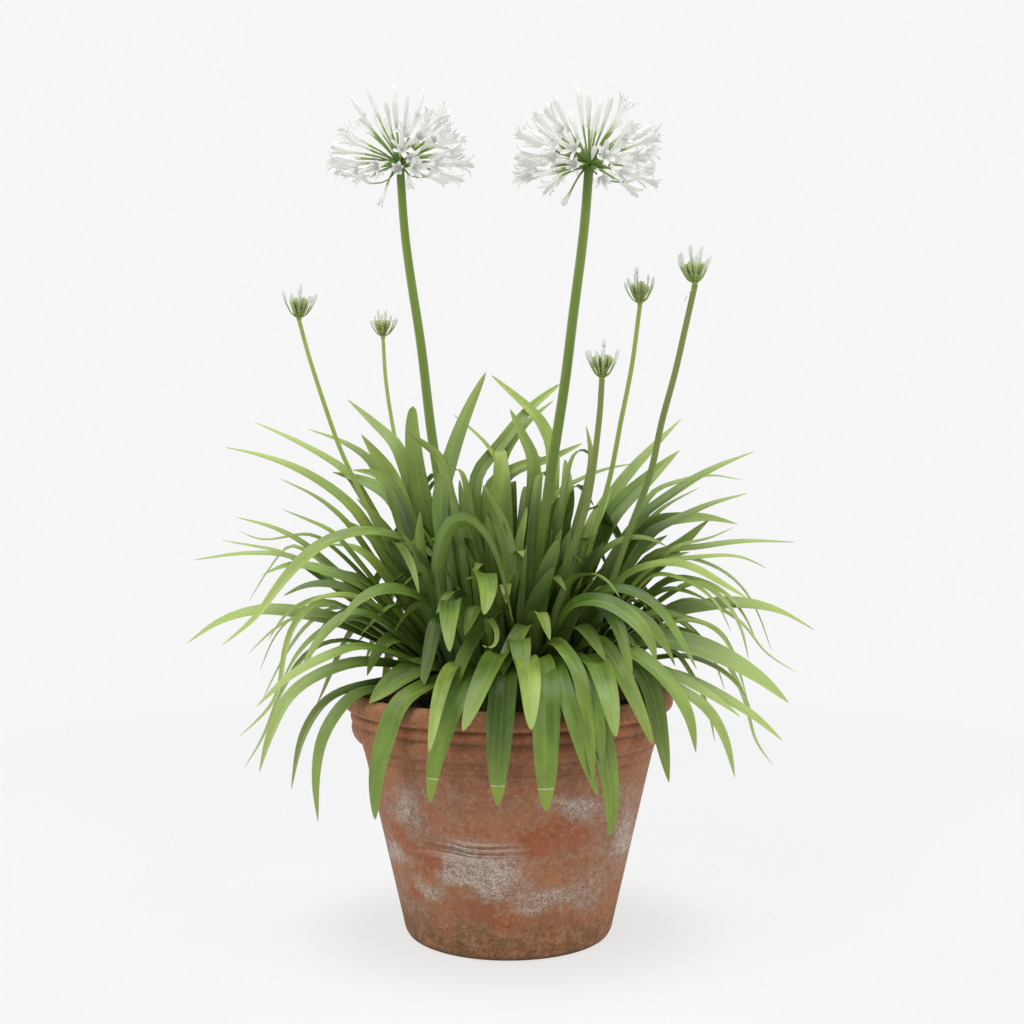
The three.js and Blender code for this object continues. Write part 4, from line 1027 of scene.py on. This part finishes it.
def rising(azimuth, root_reach, reach, top, sweep, shares):
    """The points of a leaf that rises from its root by shares of its run, rise and sweep."""
    return [polar(root_reach + run * (reach - root_reach), azimuth + swept * sweep,
                  ROOT_HEIGHT + rise * (top - ROOT_HEIGHT)) for run, rise, swept in shares]


def at_back(start, end):
    """Whether a sector faces the back, within 60 degrees of +Y."""
    return abs((start + end) / 2 - 90) < 60


def filled_leaves(start, end, filled, random):
    """The leaves that the source's rule places: they rise to a top and bend down beyond it."""
    fill = BACK_FILL if at_back(start, end) else SIDE_FILL
    half = (end - start) / 2 - FILL_MARGIN
    made = []
    for i in range(filled):
        root, reach, top, drop = (fill[key][0] + (fill[key][1] - fill[key][0]) * (i + 0.5) / filled
                                  for key in ("root", "reach", "top", "drop"))
        azimuth = (start + end) / 2 + (((i * GOLDEN_SHARE) % 1) - 0.5) * 2 * half
        width, sweep, turn = (between(random, *FILL_RANGES[key]) for key in ("width", "sweep", "turn"))
        top += between(random, -fill["spread"], fill["spread"])
        points = rising(azimuth, root, reach, top, sweep, ARCH_RISE)
        points.append(polar(reach, azimuth + sweep, top - drop))
        made.append(Leaf(azimuth, width, turn, points, ARCH_TAPER,
                         easing=GENTLE_EASING if reach < GENTLE_REACH else Leaf.easing))
    return made


def inner_leaves(start, end, count, rand):
    """Upright leaves deep in the clump, which close the view between the outer ones."""
    ranges = dict(INNER_RANGES)
    if at_back(start, end):
        ranges["top"] = INNER_TOP_AT_BACK
    made = []
    for i in range(count):
        azimuth = start + (end - start) * ((i + rand.uniform(0.2, 0.8)) / count)
        root, run, top, lean, width, turn, taper = (rand.uniform(*r) for r in ranges.values())
        points = rising(azimuth, root, root + run, top, lean, INNER_RISE)
        made.append(Leaf(azimuth, width, turn, points, taper, shade=INNER_SHADE))
    return made


def rim_leaves(start, end, rand):
    """Low leaves at the back, which arch over the rim and hang down outside it."""
    low, high = max(start, RIM_SECTOR[0]), min(end, RIM_SECTOR[1])
    count = max(0, int((high - low) / RIM_SPACING))
    made = []
    for i in range(count):
        azimuth = low + (high - low) * ((i + rand.uniform(0.1, 0.9)) / count)
        sweep, top, reach, root, sag, tip, width, turn, taper = (
            rand.uniform(*RIM_RANGES[key]) for key in
            ("sweep", "top", "reach", "root", "sag", "tip", "width", "turn", "taper"))
        points = [
            polar(root, azimuth, ROOT_HEIGHT),
            polar(112, azimuth + 0.2 * sweep, top - 12),
            polar(0.8 * reach, azimuth + 0.6 * sweep, top - sag),
            polar(reach, azimuth + sweep, tip),
        ]
        made.append(Leaf(azimuth, width, turn, points, taper, easing=14))
    return made


def in_fan(azimuth, start, end):
    """Whether an azimuth lies in a fan's sector. The sectors run from -135 to 225 degrees."""
    turned = azimuth + 360 if azimuth < -135 else azimuth
    return start <= turned < end


def make_leaves():
    random = seeded(41)
    number = 0
    placed = [side_leaf(row) for row in SIDE_LEAVES + MORE_SIDE_LEAVES]
    placed += [deep_leaf(row) for row in DEEP_LEAVES + MORE_DEEP_LEAVES]
    for name, (start, end, filled, inner) in FANS.items():
        skin = Skin()
        rand = chance.Random(name)
        leaves = [leaf for leaf in placed if in_fan(leaf.azimuth, start, end)]
        leaves += filled_leaves(start, end, filled, random) + inner_leaves(start, end, inner, rand)
        leaves += rim_leaves(start, end, rand)
        for leaf in leaves:
            number += 1
            tone = min(1, max(0, rand.gauss(LEAF_TONE, TONE_SPREAD) - leaf.shade))
            add_leaf(skin, leaf, number, tone if leaf.tone is None else leaf.tone, rand)
        skin.piece(name.replace("leaf_fan", "leaves"), LEAF, "leaf", [name], sharp=55)


# ---------------------------------------------------------------- stems
STEM_ROWS = 44
STEM_SIDES = 16
STEM_TONE = 0.3
STEM_RISE = 4
STEM_SINK = 12


def make_stem(name, row, material):
    """A round scape from below the soil's top, named for the piece it stands for. Returns its top."""
    azimuth, foot_radius, top_radius, foot_u, grid = row
    places = [on_plane(u, v, azimuth) for u, v in zip(grid[::2], grid[1::2])]
    foot = on_plane(foot_u, FOOT_V, azimuth)
    foot[2] = SOIL_TOP + STEM_RISE
    curve = smooth([foot, *places[::-1]])
    share = np.linspace(0, 1, STEM_ROWS)
    along = direction_at(curve, share)
    along[0] = UP
    centres = np.concatenate(([foot - UP * STEM_SINK], curve(share)))
    along = np.concatenate((along[:1], along))
    share = np.concatenate(([0], share))
    rings = round_rings(centres, along, foot_radius + (top_radius - foot_radius) * share, STEM_SIDES)
    share = share[:, None]
    skin = Skin()
    skin.tube(rings, (share, STEM_TONE, 1, 1),
              (share * curve.length * MM, circle(STEM_SIDES) * foot_radius * MM, 0))
    skin.piece(name.replace("stem", "scape"), material, "stem", [name])
    return places[0]


# ---------------------------------------------------------------- flowers
TEPAL_ROWS = 11
TEPAL_ACROSS = np.array((1.0, 0.5, 0.0, -0.5, -1.0))
TEPAL_THICKNESS = 0.32
# A tepal's outline: shares of its length, and the ones where its width is given.
FUNNEL_SHARES = (0, 0.25, 0.45, 0.62, 0.8, 1)
WIDTH_SHARES = (0, 0.25, 0.45, 0.62, 0.8, 0.93, 1)
STAMENS = 6
FILAMENT_RADII = (0.3, 0.28, 0.26, 0.24, 0.22)
# An anther's rings: their places along it and their radii.
ANTHER_RINGS = np.array((-0.9, -0.45, 0.45, 0.9)), (0.12, 0.36, 0.36, 0.12)
CLUB_ROWS = 12
CLUB_SIDES = 12
CLUB_OUTLINE = (0, 0.15, 0.4, 0.68, 0.86, 0.95, 1), (0.42, 0.48, 0.74, 1.0, 0.86, 0.55, 0.06)
KNOB_RISES = np.array((-1.0, -0.75, -0.3, 0.2, 0.6, 0.85))
KNOB_RADII = np.array((0.62, 0.75, 0.96, 1.0, 0.8, 0.4))


def add_strand(skin, points, radii, sides, tone):
    """A thin stalk through points."""
    curve = smooth(points)
    share = np.linspace(0, 1, len(radii))
    rings = round_rings(curve(share), direction_at(curve, share), radii, sides)
    share = share[:, None]
    skin.tube(rings, (share, tone, 1, 1),
              ((share + tone) * curve.length * MM, np.arange(sides) * 0.001, 0))


def add_floret(petals, threads, anthers, neck, direction, length, openness, turn, rand):
    """A funnel of six tepals, joined in a tube at the foot, with six stamens and a style in it."""
    axis = unit(direction)
    side = sideways(axis)
    other = np.cross(axis, side)

    def around(radius, angle, rise):
        radius, angle, rise = (np.asarray(value)[..., None] for value in (radius, angle, rise))
        return neck + side * radius * np.cos(angle) + other * radius * np.sin(angle) + axis * rise

    s = np.linspace(0, 1, TEPAL_ROWS)
    size = length / FLORET_LENGTH
    mouth = (4.5 + 10.5 * openness) * size
    for k in range(6):
        inner = k % 2
        flare = mouth * rand.uniform(0.8, 1.15)
        tip = length * (1 - 0.1 * openness) * rand.uniform(0.94, 1.03)
        radius = np.interp(s, FUNNEL_SHARES, (1.2, 1.8, 2.8, 0.34 * mouth + 1.4, 0.66 * mouth, flare))
        radius = radius - 0.3 * inner * (s > 0.1)
        rise = np.interp(s, FUNNEL_SHARES,
                         (0, 0.28 * length, 0.5 * length, 0.68 * length, 0.85 * length, tip))
        wide = (4.9 if inner else 4.1) * size
        width = np.interp(s, WIDTH_SHARES, (1.5, 2.1, 3.3, 0.9 * wide, wide, 0.62 * wide, 0.3))[:, None]
        middle = turn + k * np.pi / 3 + math.radians(rand.uniform(-9, 9))
        lean = rand.uniform(-0.16, 0.16) * s[:, None] ** 2
        radius = radius[:, None]
        angle = middle + lean + TEPAL_ACROSS * (width / 2 / np.maximum(radius, 1.4))
        # Its sides stand up a little from its middle, as a cup's do.
        cup = 0.6 * TEPAL_ACROSS**2 * np.interp(s, (0, 0.4, 1), (0, 0.6, 1.0))[:, None]
        rises = rise[:, None] + cup
        outside = around(radius, angle, rises)
        inside = around(radius - TEPAL_THICKNESS, angle, rises + 0.12)
        columns = np.concatenate((TEPAL_ACROSS, TEPAL_ACROSS[::-1]))
        petals.tube(np.concatenate((inside, outside[:, ::-1]), axis=1),
                    (s[:, None], rand.random(), (columns + 1) / 2, 1),
                    (s[:, None] * length * MM + rand.random(), width / 2 * columns * MM, 0))
    for k in range(STAMENS + 1):
        style = k == STAMENS
        angle = turn + (k + 0.5) * np.pi / 3
        reach = 0.8 if style else 1.2 + 2.6 * openness
        end = length * (1.0 if style else rand.uniform(0.76, 0.92))
        path = [around(*place) for place in ((0.8, angle, 0.2 * length),
                                             (0.5 * reach, angle, 0.55 * length), (reach, angle, end))]
        add_strand(threads, path, FILAMENT_RADII, 4, 0.5)
        if not style:
            lying = side * math.sin(angle) - other * math.cos(angle)
            rises, radii = ANTHER_RINGS
            centres = path[-1] + np.outer(rises, lying)
            anthers.tube(round_rings(centres, np.repeat(lying[None], len(rises), axis=0), radii, 6))


def add_club(skin, neck, start, end, length, radius, rand):
    """A closed bud: a slim foot, a swollen body with six soft lobes and a blunt point."""
    s = 1 - (1 - np.linspace(0, 1, CLUB_ROWS)[:, None]) ** 1.4
    bend = unit(start + (end - start) * np.minimum(s * 1.6, 1))
    centres = neck + np.cumsum(bend * np.diff(s, prepend=0, axis=0) * length, axis=0)
    radii = np.interp(s[:, 0], *CLUB_OUTLINE) * radius
    rings = round_rings(centres, bend, radii, CLUB_SIDES)
    lobes = 1 + 0.07 * np.cos(6 * circle(CLUB_SIDES))[None, :, None]
    rings = centres[:, None] + (rings - centres[:, None]) * lobes
    skin.tube(rings, (s, rand.random(), 1, 1),
              (s * length * MM + rand.random(), np.arange(CLUB_SIDES) * 0.0014, 0))


def add_knob(skin, centre, radius):
    along = np.repeat([UP], len(KNOB_RISES), axis=0)
    centres = centre + along * KNOB_RISES[:, None] * radius
    skin.tube(round_rings(centres, along, KNOB_RADII * radius, 18), (0.2, 0.3, 1, 1))


# An umbel's florets stand from UMBEL_TOP down over UMBEL_SPREAD of its height, in radii. It is a
# little tipped to the front: its back stands UMBEL_NOD higher.
UMBEL_TOP, UMBEL_SPREAD, UMBEL_NOD = 0.86, 1.06, 0.16
PEDICEL_RADII = (1.35, 1.2, 1.05, 1.0, 1.0, 1.1, 1.3)
HOOK_RADII = (1.0, 0.8, 0.75, 0.75, 0.9)
PEDICEL_SIDES = 7
VIEW_DEPTH = -0.35
LONGER_STALK = 1.2
HANGING_SHARE = 0.66
# The two umbels: the view into the stalks that is left open (from and to the right, and above what),
# and the florets and buds that stand out: their directions (right, back and up), their sizes and, for
# a floret, how far it is open, or for a bud its radius. A hook's place is that of its low point.
UMBELS = {
    "umbel_left": ("flower_stem_left", 7, 60, {
        "open_view": (-0.78, 0.12, -0.12),
        "stars": [(10, -70, 3, 1, 1), (16, -62, 30, 0.95, 1), (36, -55, 24, 0.95, 1),
                  (26, -62, -16, 1, 0.8), (-21, -8, -46, 0.66, 0.22)],
        "buds": [(-9, 10, 97, 1.21, 3.3), (-39, -5, 88, 1.19, 3.1), (-58, -12, 74, 1.16, 2.8),
                 (28, 10, 91, 1.17, 3.2), (55, -5, 74, 1.13, 2.8), (6, 35, 76, 1.04, 3.2),
                 (-3, -38, 60, 0.94, 3.4), (12, -30, 74, 0.96, 2.6), (-16, -32, 68, 0.9, 3),
                 (-66, -25, -2, 0.98, 4), (66, 20, 50, 1, 2.8), (-62, 30, 40, 0.96, 2.8),
                 (6, -60, 8, 0.66, 2.8), (-22, 30, 68, 0.92, 3), (30, 26, 64, 0.94, 3)],
        "hanging": [],
        "hooks": [(-30, -8, -22), (30, -20, -18)],
    }),
    "umbel_right": ("flower_stem_right", 19, 60, {
        "open_view": (-0.45, 0.42, -0.02),
        "stars": [(-22, -62, 10, 1, 1), (22, -66, -9, 1, 1), (38, -54, 0, 1, 0.9),
                  (-32, -50, -4, 0.95, 0.8), (-68, -12, -12, 1.06, 0.8)],
        "buds": [(-12, 8, 88, 1.1, 3.2), (-1, -10, 76, 0.96, 3), (14, 10, 76, 0.96, 3),
                 (24, -30, 68, 0.94, 3), (38, 4, 72, 1.02, 3.6), (-39, -6, 72, 1.03, 3.4),
                 (-72, -20, 27, 0.98, 4), (3, -60, 4, 0.66, 2.8), (-62, 10, 50, 0.96, 2.6),
                 (60, 16, 48, 0.96, 2.8), (-20, 28, 66, 0.92, 3), (6, 34, 70, 0.94, 3)],
        "hanging": [(-26, -10, -44, 0.62, 3.6)],
        "hooks": [(38, -22, -20)],
    }),
}


def umbel(name, centre, seed, count, rule):
    """Stalks set all round by the golden turn, with open florets round the sides and slim buds."""
    rand = chance.Random(seed)
    petals, threads, anthers, stalks, closed = Skin(), Skin(), Skin(), Skin(), Skin()
    add_knob(stalks, centre, UMBEL_KNOB * 0.7)

    def stalk(direction, size, sag=2.0):
        """A stalk that leaves the knob a little more upright than it arrives."""
        base = centre
        if direction[2] < -0.4:
            base = centre + 0.5 * UMBEL_KNOB * unit(level(direction))
        end = direction * PEDICEL_LENGTH * size
        path = [base, base + end * 0.5 + UP * sag, base + end]
        add_strand(stalks, path, PEDICEL_RADII, PEDICEL_SIDES, rand.random())
        return path[-1]

    def floret(direction, size, openness, longer=1.0):
        """A floret on its stalk. The longer its stalk, the shorter it is itself."""
        direction = unit(np.array(direction, float))
        # A floret nods a little away from the line of its stalk.
        nod = np.array((rand.uniform(-0.2, 0.2), rand.uniform(-0.2, 0.2), rand.uniform(-0.28, 0.06)))
        add_floret(petals, threads, anthers, stalk(direction, size * longer), direction + nod,
                   FLORET_LENGTH * size * (1.9 - longer) / 0.9, openness,
                   rand.uniform(0, math.pi / 3), rand)

    def bud(direction, size, radius, lift=0.15, share=1.0):
        """A bud on its stalk. What its share takes from its length goes to the stalk."""
        direction = unit(np.array(direction, float))
        end = unit(direction * (1 - lift) + UP * lift)
        neck = stalk(direction, size * (2 - share))
        add_club(closed, neck, direction, end, BUD_LENGTH * size * share, radius, rand)

    low_x, high_x, low_z = rule["open_view"]
    for i in range(count):
        height = UMBEL_TOP - UMBEL_SPREAD * (i + 0.5) / count
        flat = math.sqrt(1 - height * height)
        x, y, z = polar(flat, i * GOLDEN_TURN + rand.uniform(-10, 10), height)
        z += UMBEL_NOD * y
        in_view = low_x < x < high_x and z > low_z
        if y < VIEW_DEPTH and in_view:
            continue
        floret((x, y, z), rand.uniform(0.9, 1.12), rand.uniform(0.2, 0.85),
               LONGER_STALK if in_view else 1.0)
    for *direction, size, openness in rule["stars"]:
        floret(direction, size, openness)
    for *direction, size, radius in rule["buds"]:
        bud(direction, size, radius)
    for *direction, size, radius in rule["hanging"]:
        bud(direction, size, radius, lift=0, share=HANGING_SHARE)
    # A hook is a stalk that sags below the umbel and turns its bud up again.
    for place in rule["hooks"]:
        low = centre + np.array(place, float)
        middle = centre + np.array(place) * (0.5, 0.5, 0.85)
        add_strand(stalks, [centre, middle, low], HOOK_RADII, PEDICEL_SIDES, rand.random())
        outward = unit(level(low - centre))
        add_club(closed, low, unit(outward - UP * 0.2), unit(outward * 0.6 + UP * 0.8), 19, 2.9, rand)
    petals.piece(name + "_petals", PETAL, "petal", [name], sharp=60)
    closed.piece(name + "_buds", BUD, "bud", [name])
    stalks.piece(name + "_stalks", PEDICEL, "stem", [name])
    threads.piece(name + "_filaments", PETAL, "petal", [name])
    anthers.piece(name + "_anthers", ANTHER, "petal", [name])


# A bud head's buds, each sort with the length of its stalk, its own length and radius, how far it
# turns upright and how far its stalk bows outward.
GREEN_BUDS, OUTER_BUDS = 26, 10
YOUNG_FORM = (9, 13, 1.75, 0.5, 0.06)
OUTER_FORM = (17, 15.5, 1.8, 0.72, 0.12)
TALL_FORM = (17, 20, 2.1, 0.6, 0)
CUP_STALK_RADII = (0.85, 0.75, 0.7, 0.75, 1.0)
# Each head's seed, how many tall buds it has, and its scale.
BUD_HEADS = {
    "bud_stem_1": (51, 2, 1),
    "bud_stem_2": (52, 2, 0.88),
    "bud_stem_3": (53, 1, 1),
    "bud_stem_4": (54, 1, 1),
    "bud_stem_5": (55, 2, 1),
}


def bud_head(name, centre, seed, tall, scale):
    """Closed buds held upright in a cup: small green ones inside, pale ones round them."""
    rand = chance.Random(seed)
    green, pale, stalks = Skin(), Skin(), Skin()
    add_knob(stalks, centre, BUD_KNOB * 0.72)
    turn = rand.uniform(0, 360)

    def bud(skin, i, lean, form):
        stalk, length, radius, upright, bow = form
        azimuth = turn + i * GOLDEN_TURN + rand.uniform(-8, 8)
        size = rand.uniform(0.88, 1.12) * scale
        lean = math.radians(lean)
        direction = polar(math.sin(lean), azimuth, math.cos(lean))
        top = centre + direction * (BUD_KNOB / 2 + stalk * size)
        # The stalk bows outward on its way up, as the side of a cup does.
        middle = centre + (top - centre) * np.array((0.5 + bow, 0.5 + bow, 0.5 - bow))
        add_strand(stalks, [centre + direction * 0.8, middle, top], CUP_STALK_RADII, 6, rand.random())
        start = unit(direction + UP * 2.5 * bow)
        end = unit(direction * (1 - upright) + UP * upright)
        add_club(skin, top, start, end, length * size, radius, rand)

    for i in range(GREEN_BUDS):
        bud(green, i, 2 + 34 * math.sqrt((i + 0.5) / GREEN_BUDS), YOUNG_FORM)
    for i in range(OUTER_BUDS):
        bud(pale, i, rand.uniform(38, 50), OUTER_FORM)
    for i in range(tall):
        bud(pale, i + 4, rand.uniform(3, 16), TALL_FORM)
    green.piece(name + "_young_buds", GREEN_BUD, "bud", [name])
    pale.piece(name + "_buds", YOUNG_BUD, "bud", [name])
    stalks.piece(name + "_stalks", CUP_STALK, "stem", [name])


# The papery bract that has come loose below one head: its path from the stem's top, and its radii.
BRACT_PATH = [(-2, -1, -4), (-5, -3, -7), (-9, -4, -12), (-12, -4, -18)]
BRACT_RADII = (0.5, 0.6, 0.5, 0.45, 0.8, 1.2, 0.5)


def make_bract(top):
    skin = Skin()
    add_strand(skin, [top + np.array(offset, float) for offset in BRACT_PATH], BRACT_RADII, 6, 0.5)
    skin.piece("bract", YOUNG_BUD, "bud")


# ---------------------------------------------------------------- build
make_pot()
make_soil()
make_leaves()
tops = {name: make_stem(name, row, SCAPE) for name, row in FLOWER_STEMS.items()}
for name, row in BUD_STEMS.items():
    tops[name] = make_stem(name, row, OLIVE_SCAPE if row[1] > THICK_STEM else THIN_SCAPE)
for name, (stem, *rules) in UMBELS.items():
    umbel(name, tops[stem] + UP * FLOWER_SEAT, *rules)
for name, rules in BUD_HEADS.items():
    bud_head(name.replace("stem", "head"), tops[name] + UP * BUD_SEAT, *rules)
make_bract(tops["bud_stem_5"])


# ---------------------------------------------------------------- floor, light and camera
BACKDROP = 0.925
AMBIENT = 0.26
FLOOR_RADIUS = 30  # in metres
FLOOR_SIDES = 96
# The floor's glow: away from the pot, right round it, and further out. It is darker right round the pot
# and further out: a painted shadow of the pot and the plant.
OPEN_GLOW, NEAR_SHADOW_GLOW, WIDE_SHADOW_GLOW = (0.75, 0.748, 0.74, 1), (0.70, 0.694, 0.68, 1), (0.712, 0.712, 0.71, 1)
LIGHT_AIM = Vector((0, 0, 0.35))
# Name, place, size and power of each light.
SOFTBOXES = [
    ("top_softbox", (0.0, -0.15, 2.9), (2.4, 2.4), 60),
    ("key_softbox", (-1.3, -1.9, 2.3), (1.6, 1.6), 30),
    ("fill_softbox", (1.9, -1.6, 1.3), (1.4, 1.4), 13),
    ("left_edge_softbox", (-2.1, 0.7, 1.0), (1.3, 1.6), 15),
    ("right_edge_softbox", (2.1, 0.7, 1.0), (1.3, 1.6), 15),
]


def make_floor():
    """A pale floor that takes soft shadows near the pot, has a painted shadow in its glow round the pot,
    and fades to the backdrop's own tone.
    """
    f = Finish("studio_floor")
    reach = f.length(f.place())
    far = reach.span(0.7, 2.0)
    # Painted shadow: the glow is darker right round the pot and further out.
    glow = f.mix(reach.span(0.26, 0.13), OPEN_GLOW, NEAR_SHADOW_GLOW)
    glow = f.mix(reach.span(0.2, 0.5), glow, WIDE_SHADOW_GLOW)
    glow = f.mix(far, glow, (BACKDROP, BACKDROP, BACKDROP, 1))
    f.colour = f.mix(far, (0.17, 0.173, 0.18, 1), (0, 0, 0, 1))
    f.done(1.0, Specular_IOR_Level=0.0, Emission_Strength=1.0, Emission_Color=glow)
    mesh = bpy.data.meshes.new("floor")
    ring = [polar(FLOOR_RADIUS, 360 * i / FLOOR_SIDES, 0).tolist() for i in range(FLOOR_SIDES)]
    mesh.from_pydata(ring, [], [range(FLOOR_SIDES)])
    mesh.materials.append(f.material)
    floor = shown("floor", mesh)
    floor.location.z = -0.0005


def softbox(name, place, size, power):
    data = bpy.data.lights.new(name, "AREA")
    data.shape = "RECTANGLE"
    data.size, data.size_y = size
    data.energy = power
    light = shown(name, data)
    light.location = place
    light.rotation_euler = (LIGHT_AIM - Vector(place)).to_track_quat("-Z", "Y").to_euler()
    light.visible_camera = False


def make_world():
    """A bright backdrop where it is seen, and a dimmer light from it on the plant."""
    world = bpy.data.worlds.new("studio")
    world.use_nodes = True
    nodes, links = world.node_tree.nodes, world.node_tree.links
    seen = next(n for n in nodes if n.type == "BACKGROUND")
    shining = nodes.new("ShaderNodeBackground")
    for node, tone in ((seen, BACKDROP), (shining, AMBIENT)):
        node.inputs["Color"].default_value = (tone, tone, tone, 1)
    chosen = nodes.new("ShaderNodeMixShader")
    links.new(nodes.new("ShaderNodeLightPath").outputs["Is Camera Ray"], chosen.inputs[0])
    links.new(shining.outputs[0], chosen.inputs[1])
    links.new(seen.outputs[0], chosen.inputs[2])
    output = next(n for n in nodes if n.type == "OUTPUT_WORLD")
    links.new(chosen.outputs[0], output.inputs["Surface"])
    return world


def make_camera():
    lens = bpy.data.cameras.new("camera")
    lens.sensor_width = 36
    lens.lens = lens.sensor_width * GRID_SCALE / (2 * GRID_CENTRE)
    lens.clip_end = 100
    camera = shown("camera", lens)
    camera.location = (EYE_SIDE * MM, -EYE_DISTANCE * MM, EYE_HEIGHT * MM)
    camera.rotation_euler = (math.pi / 2, 0, 0)
    return camera


make_floor()
for light in SOFTBOXES:
    softbox(*light)
bpy.context.scene.world = make_world()
bpy.context.scene.view_settings.view_transform = "Standard"
bpy.context.scene.camera = make_camera()

bpy.context.view_layer.update()
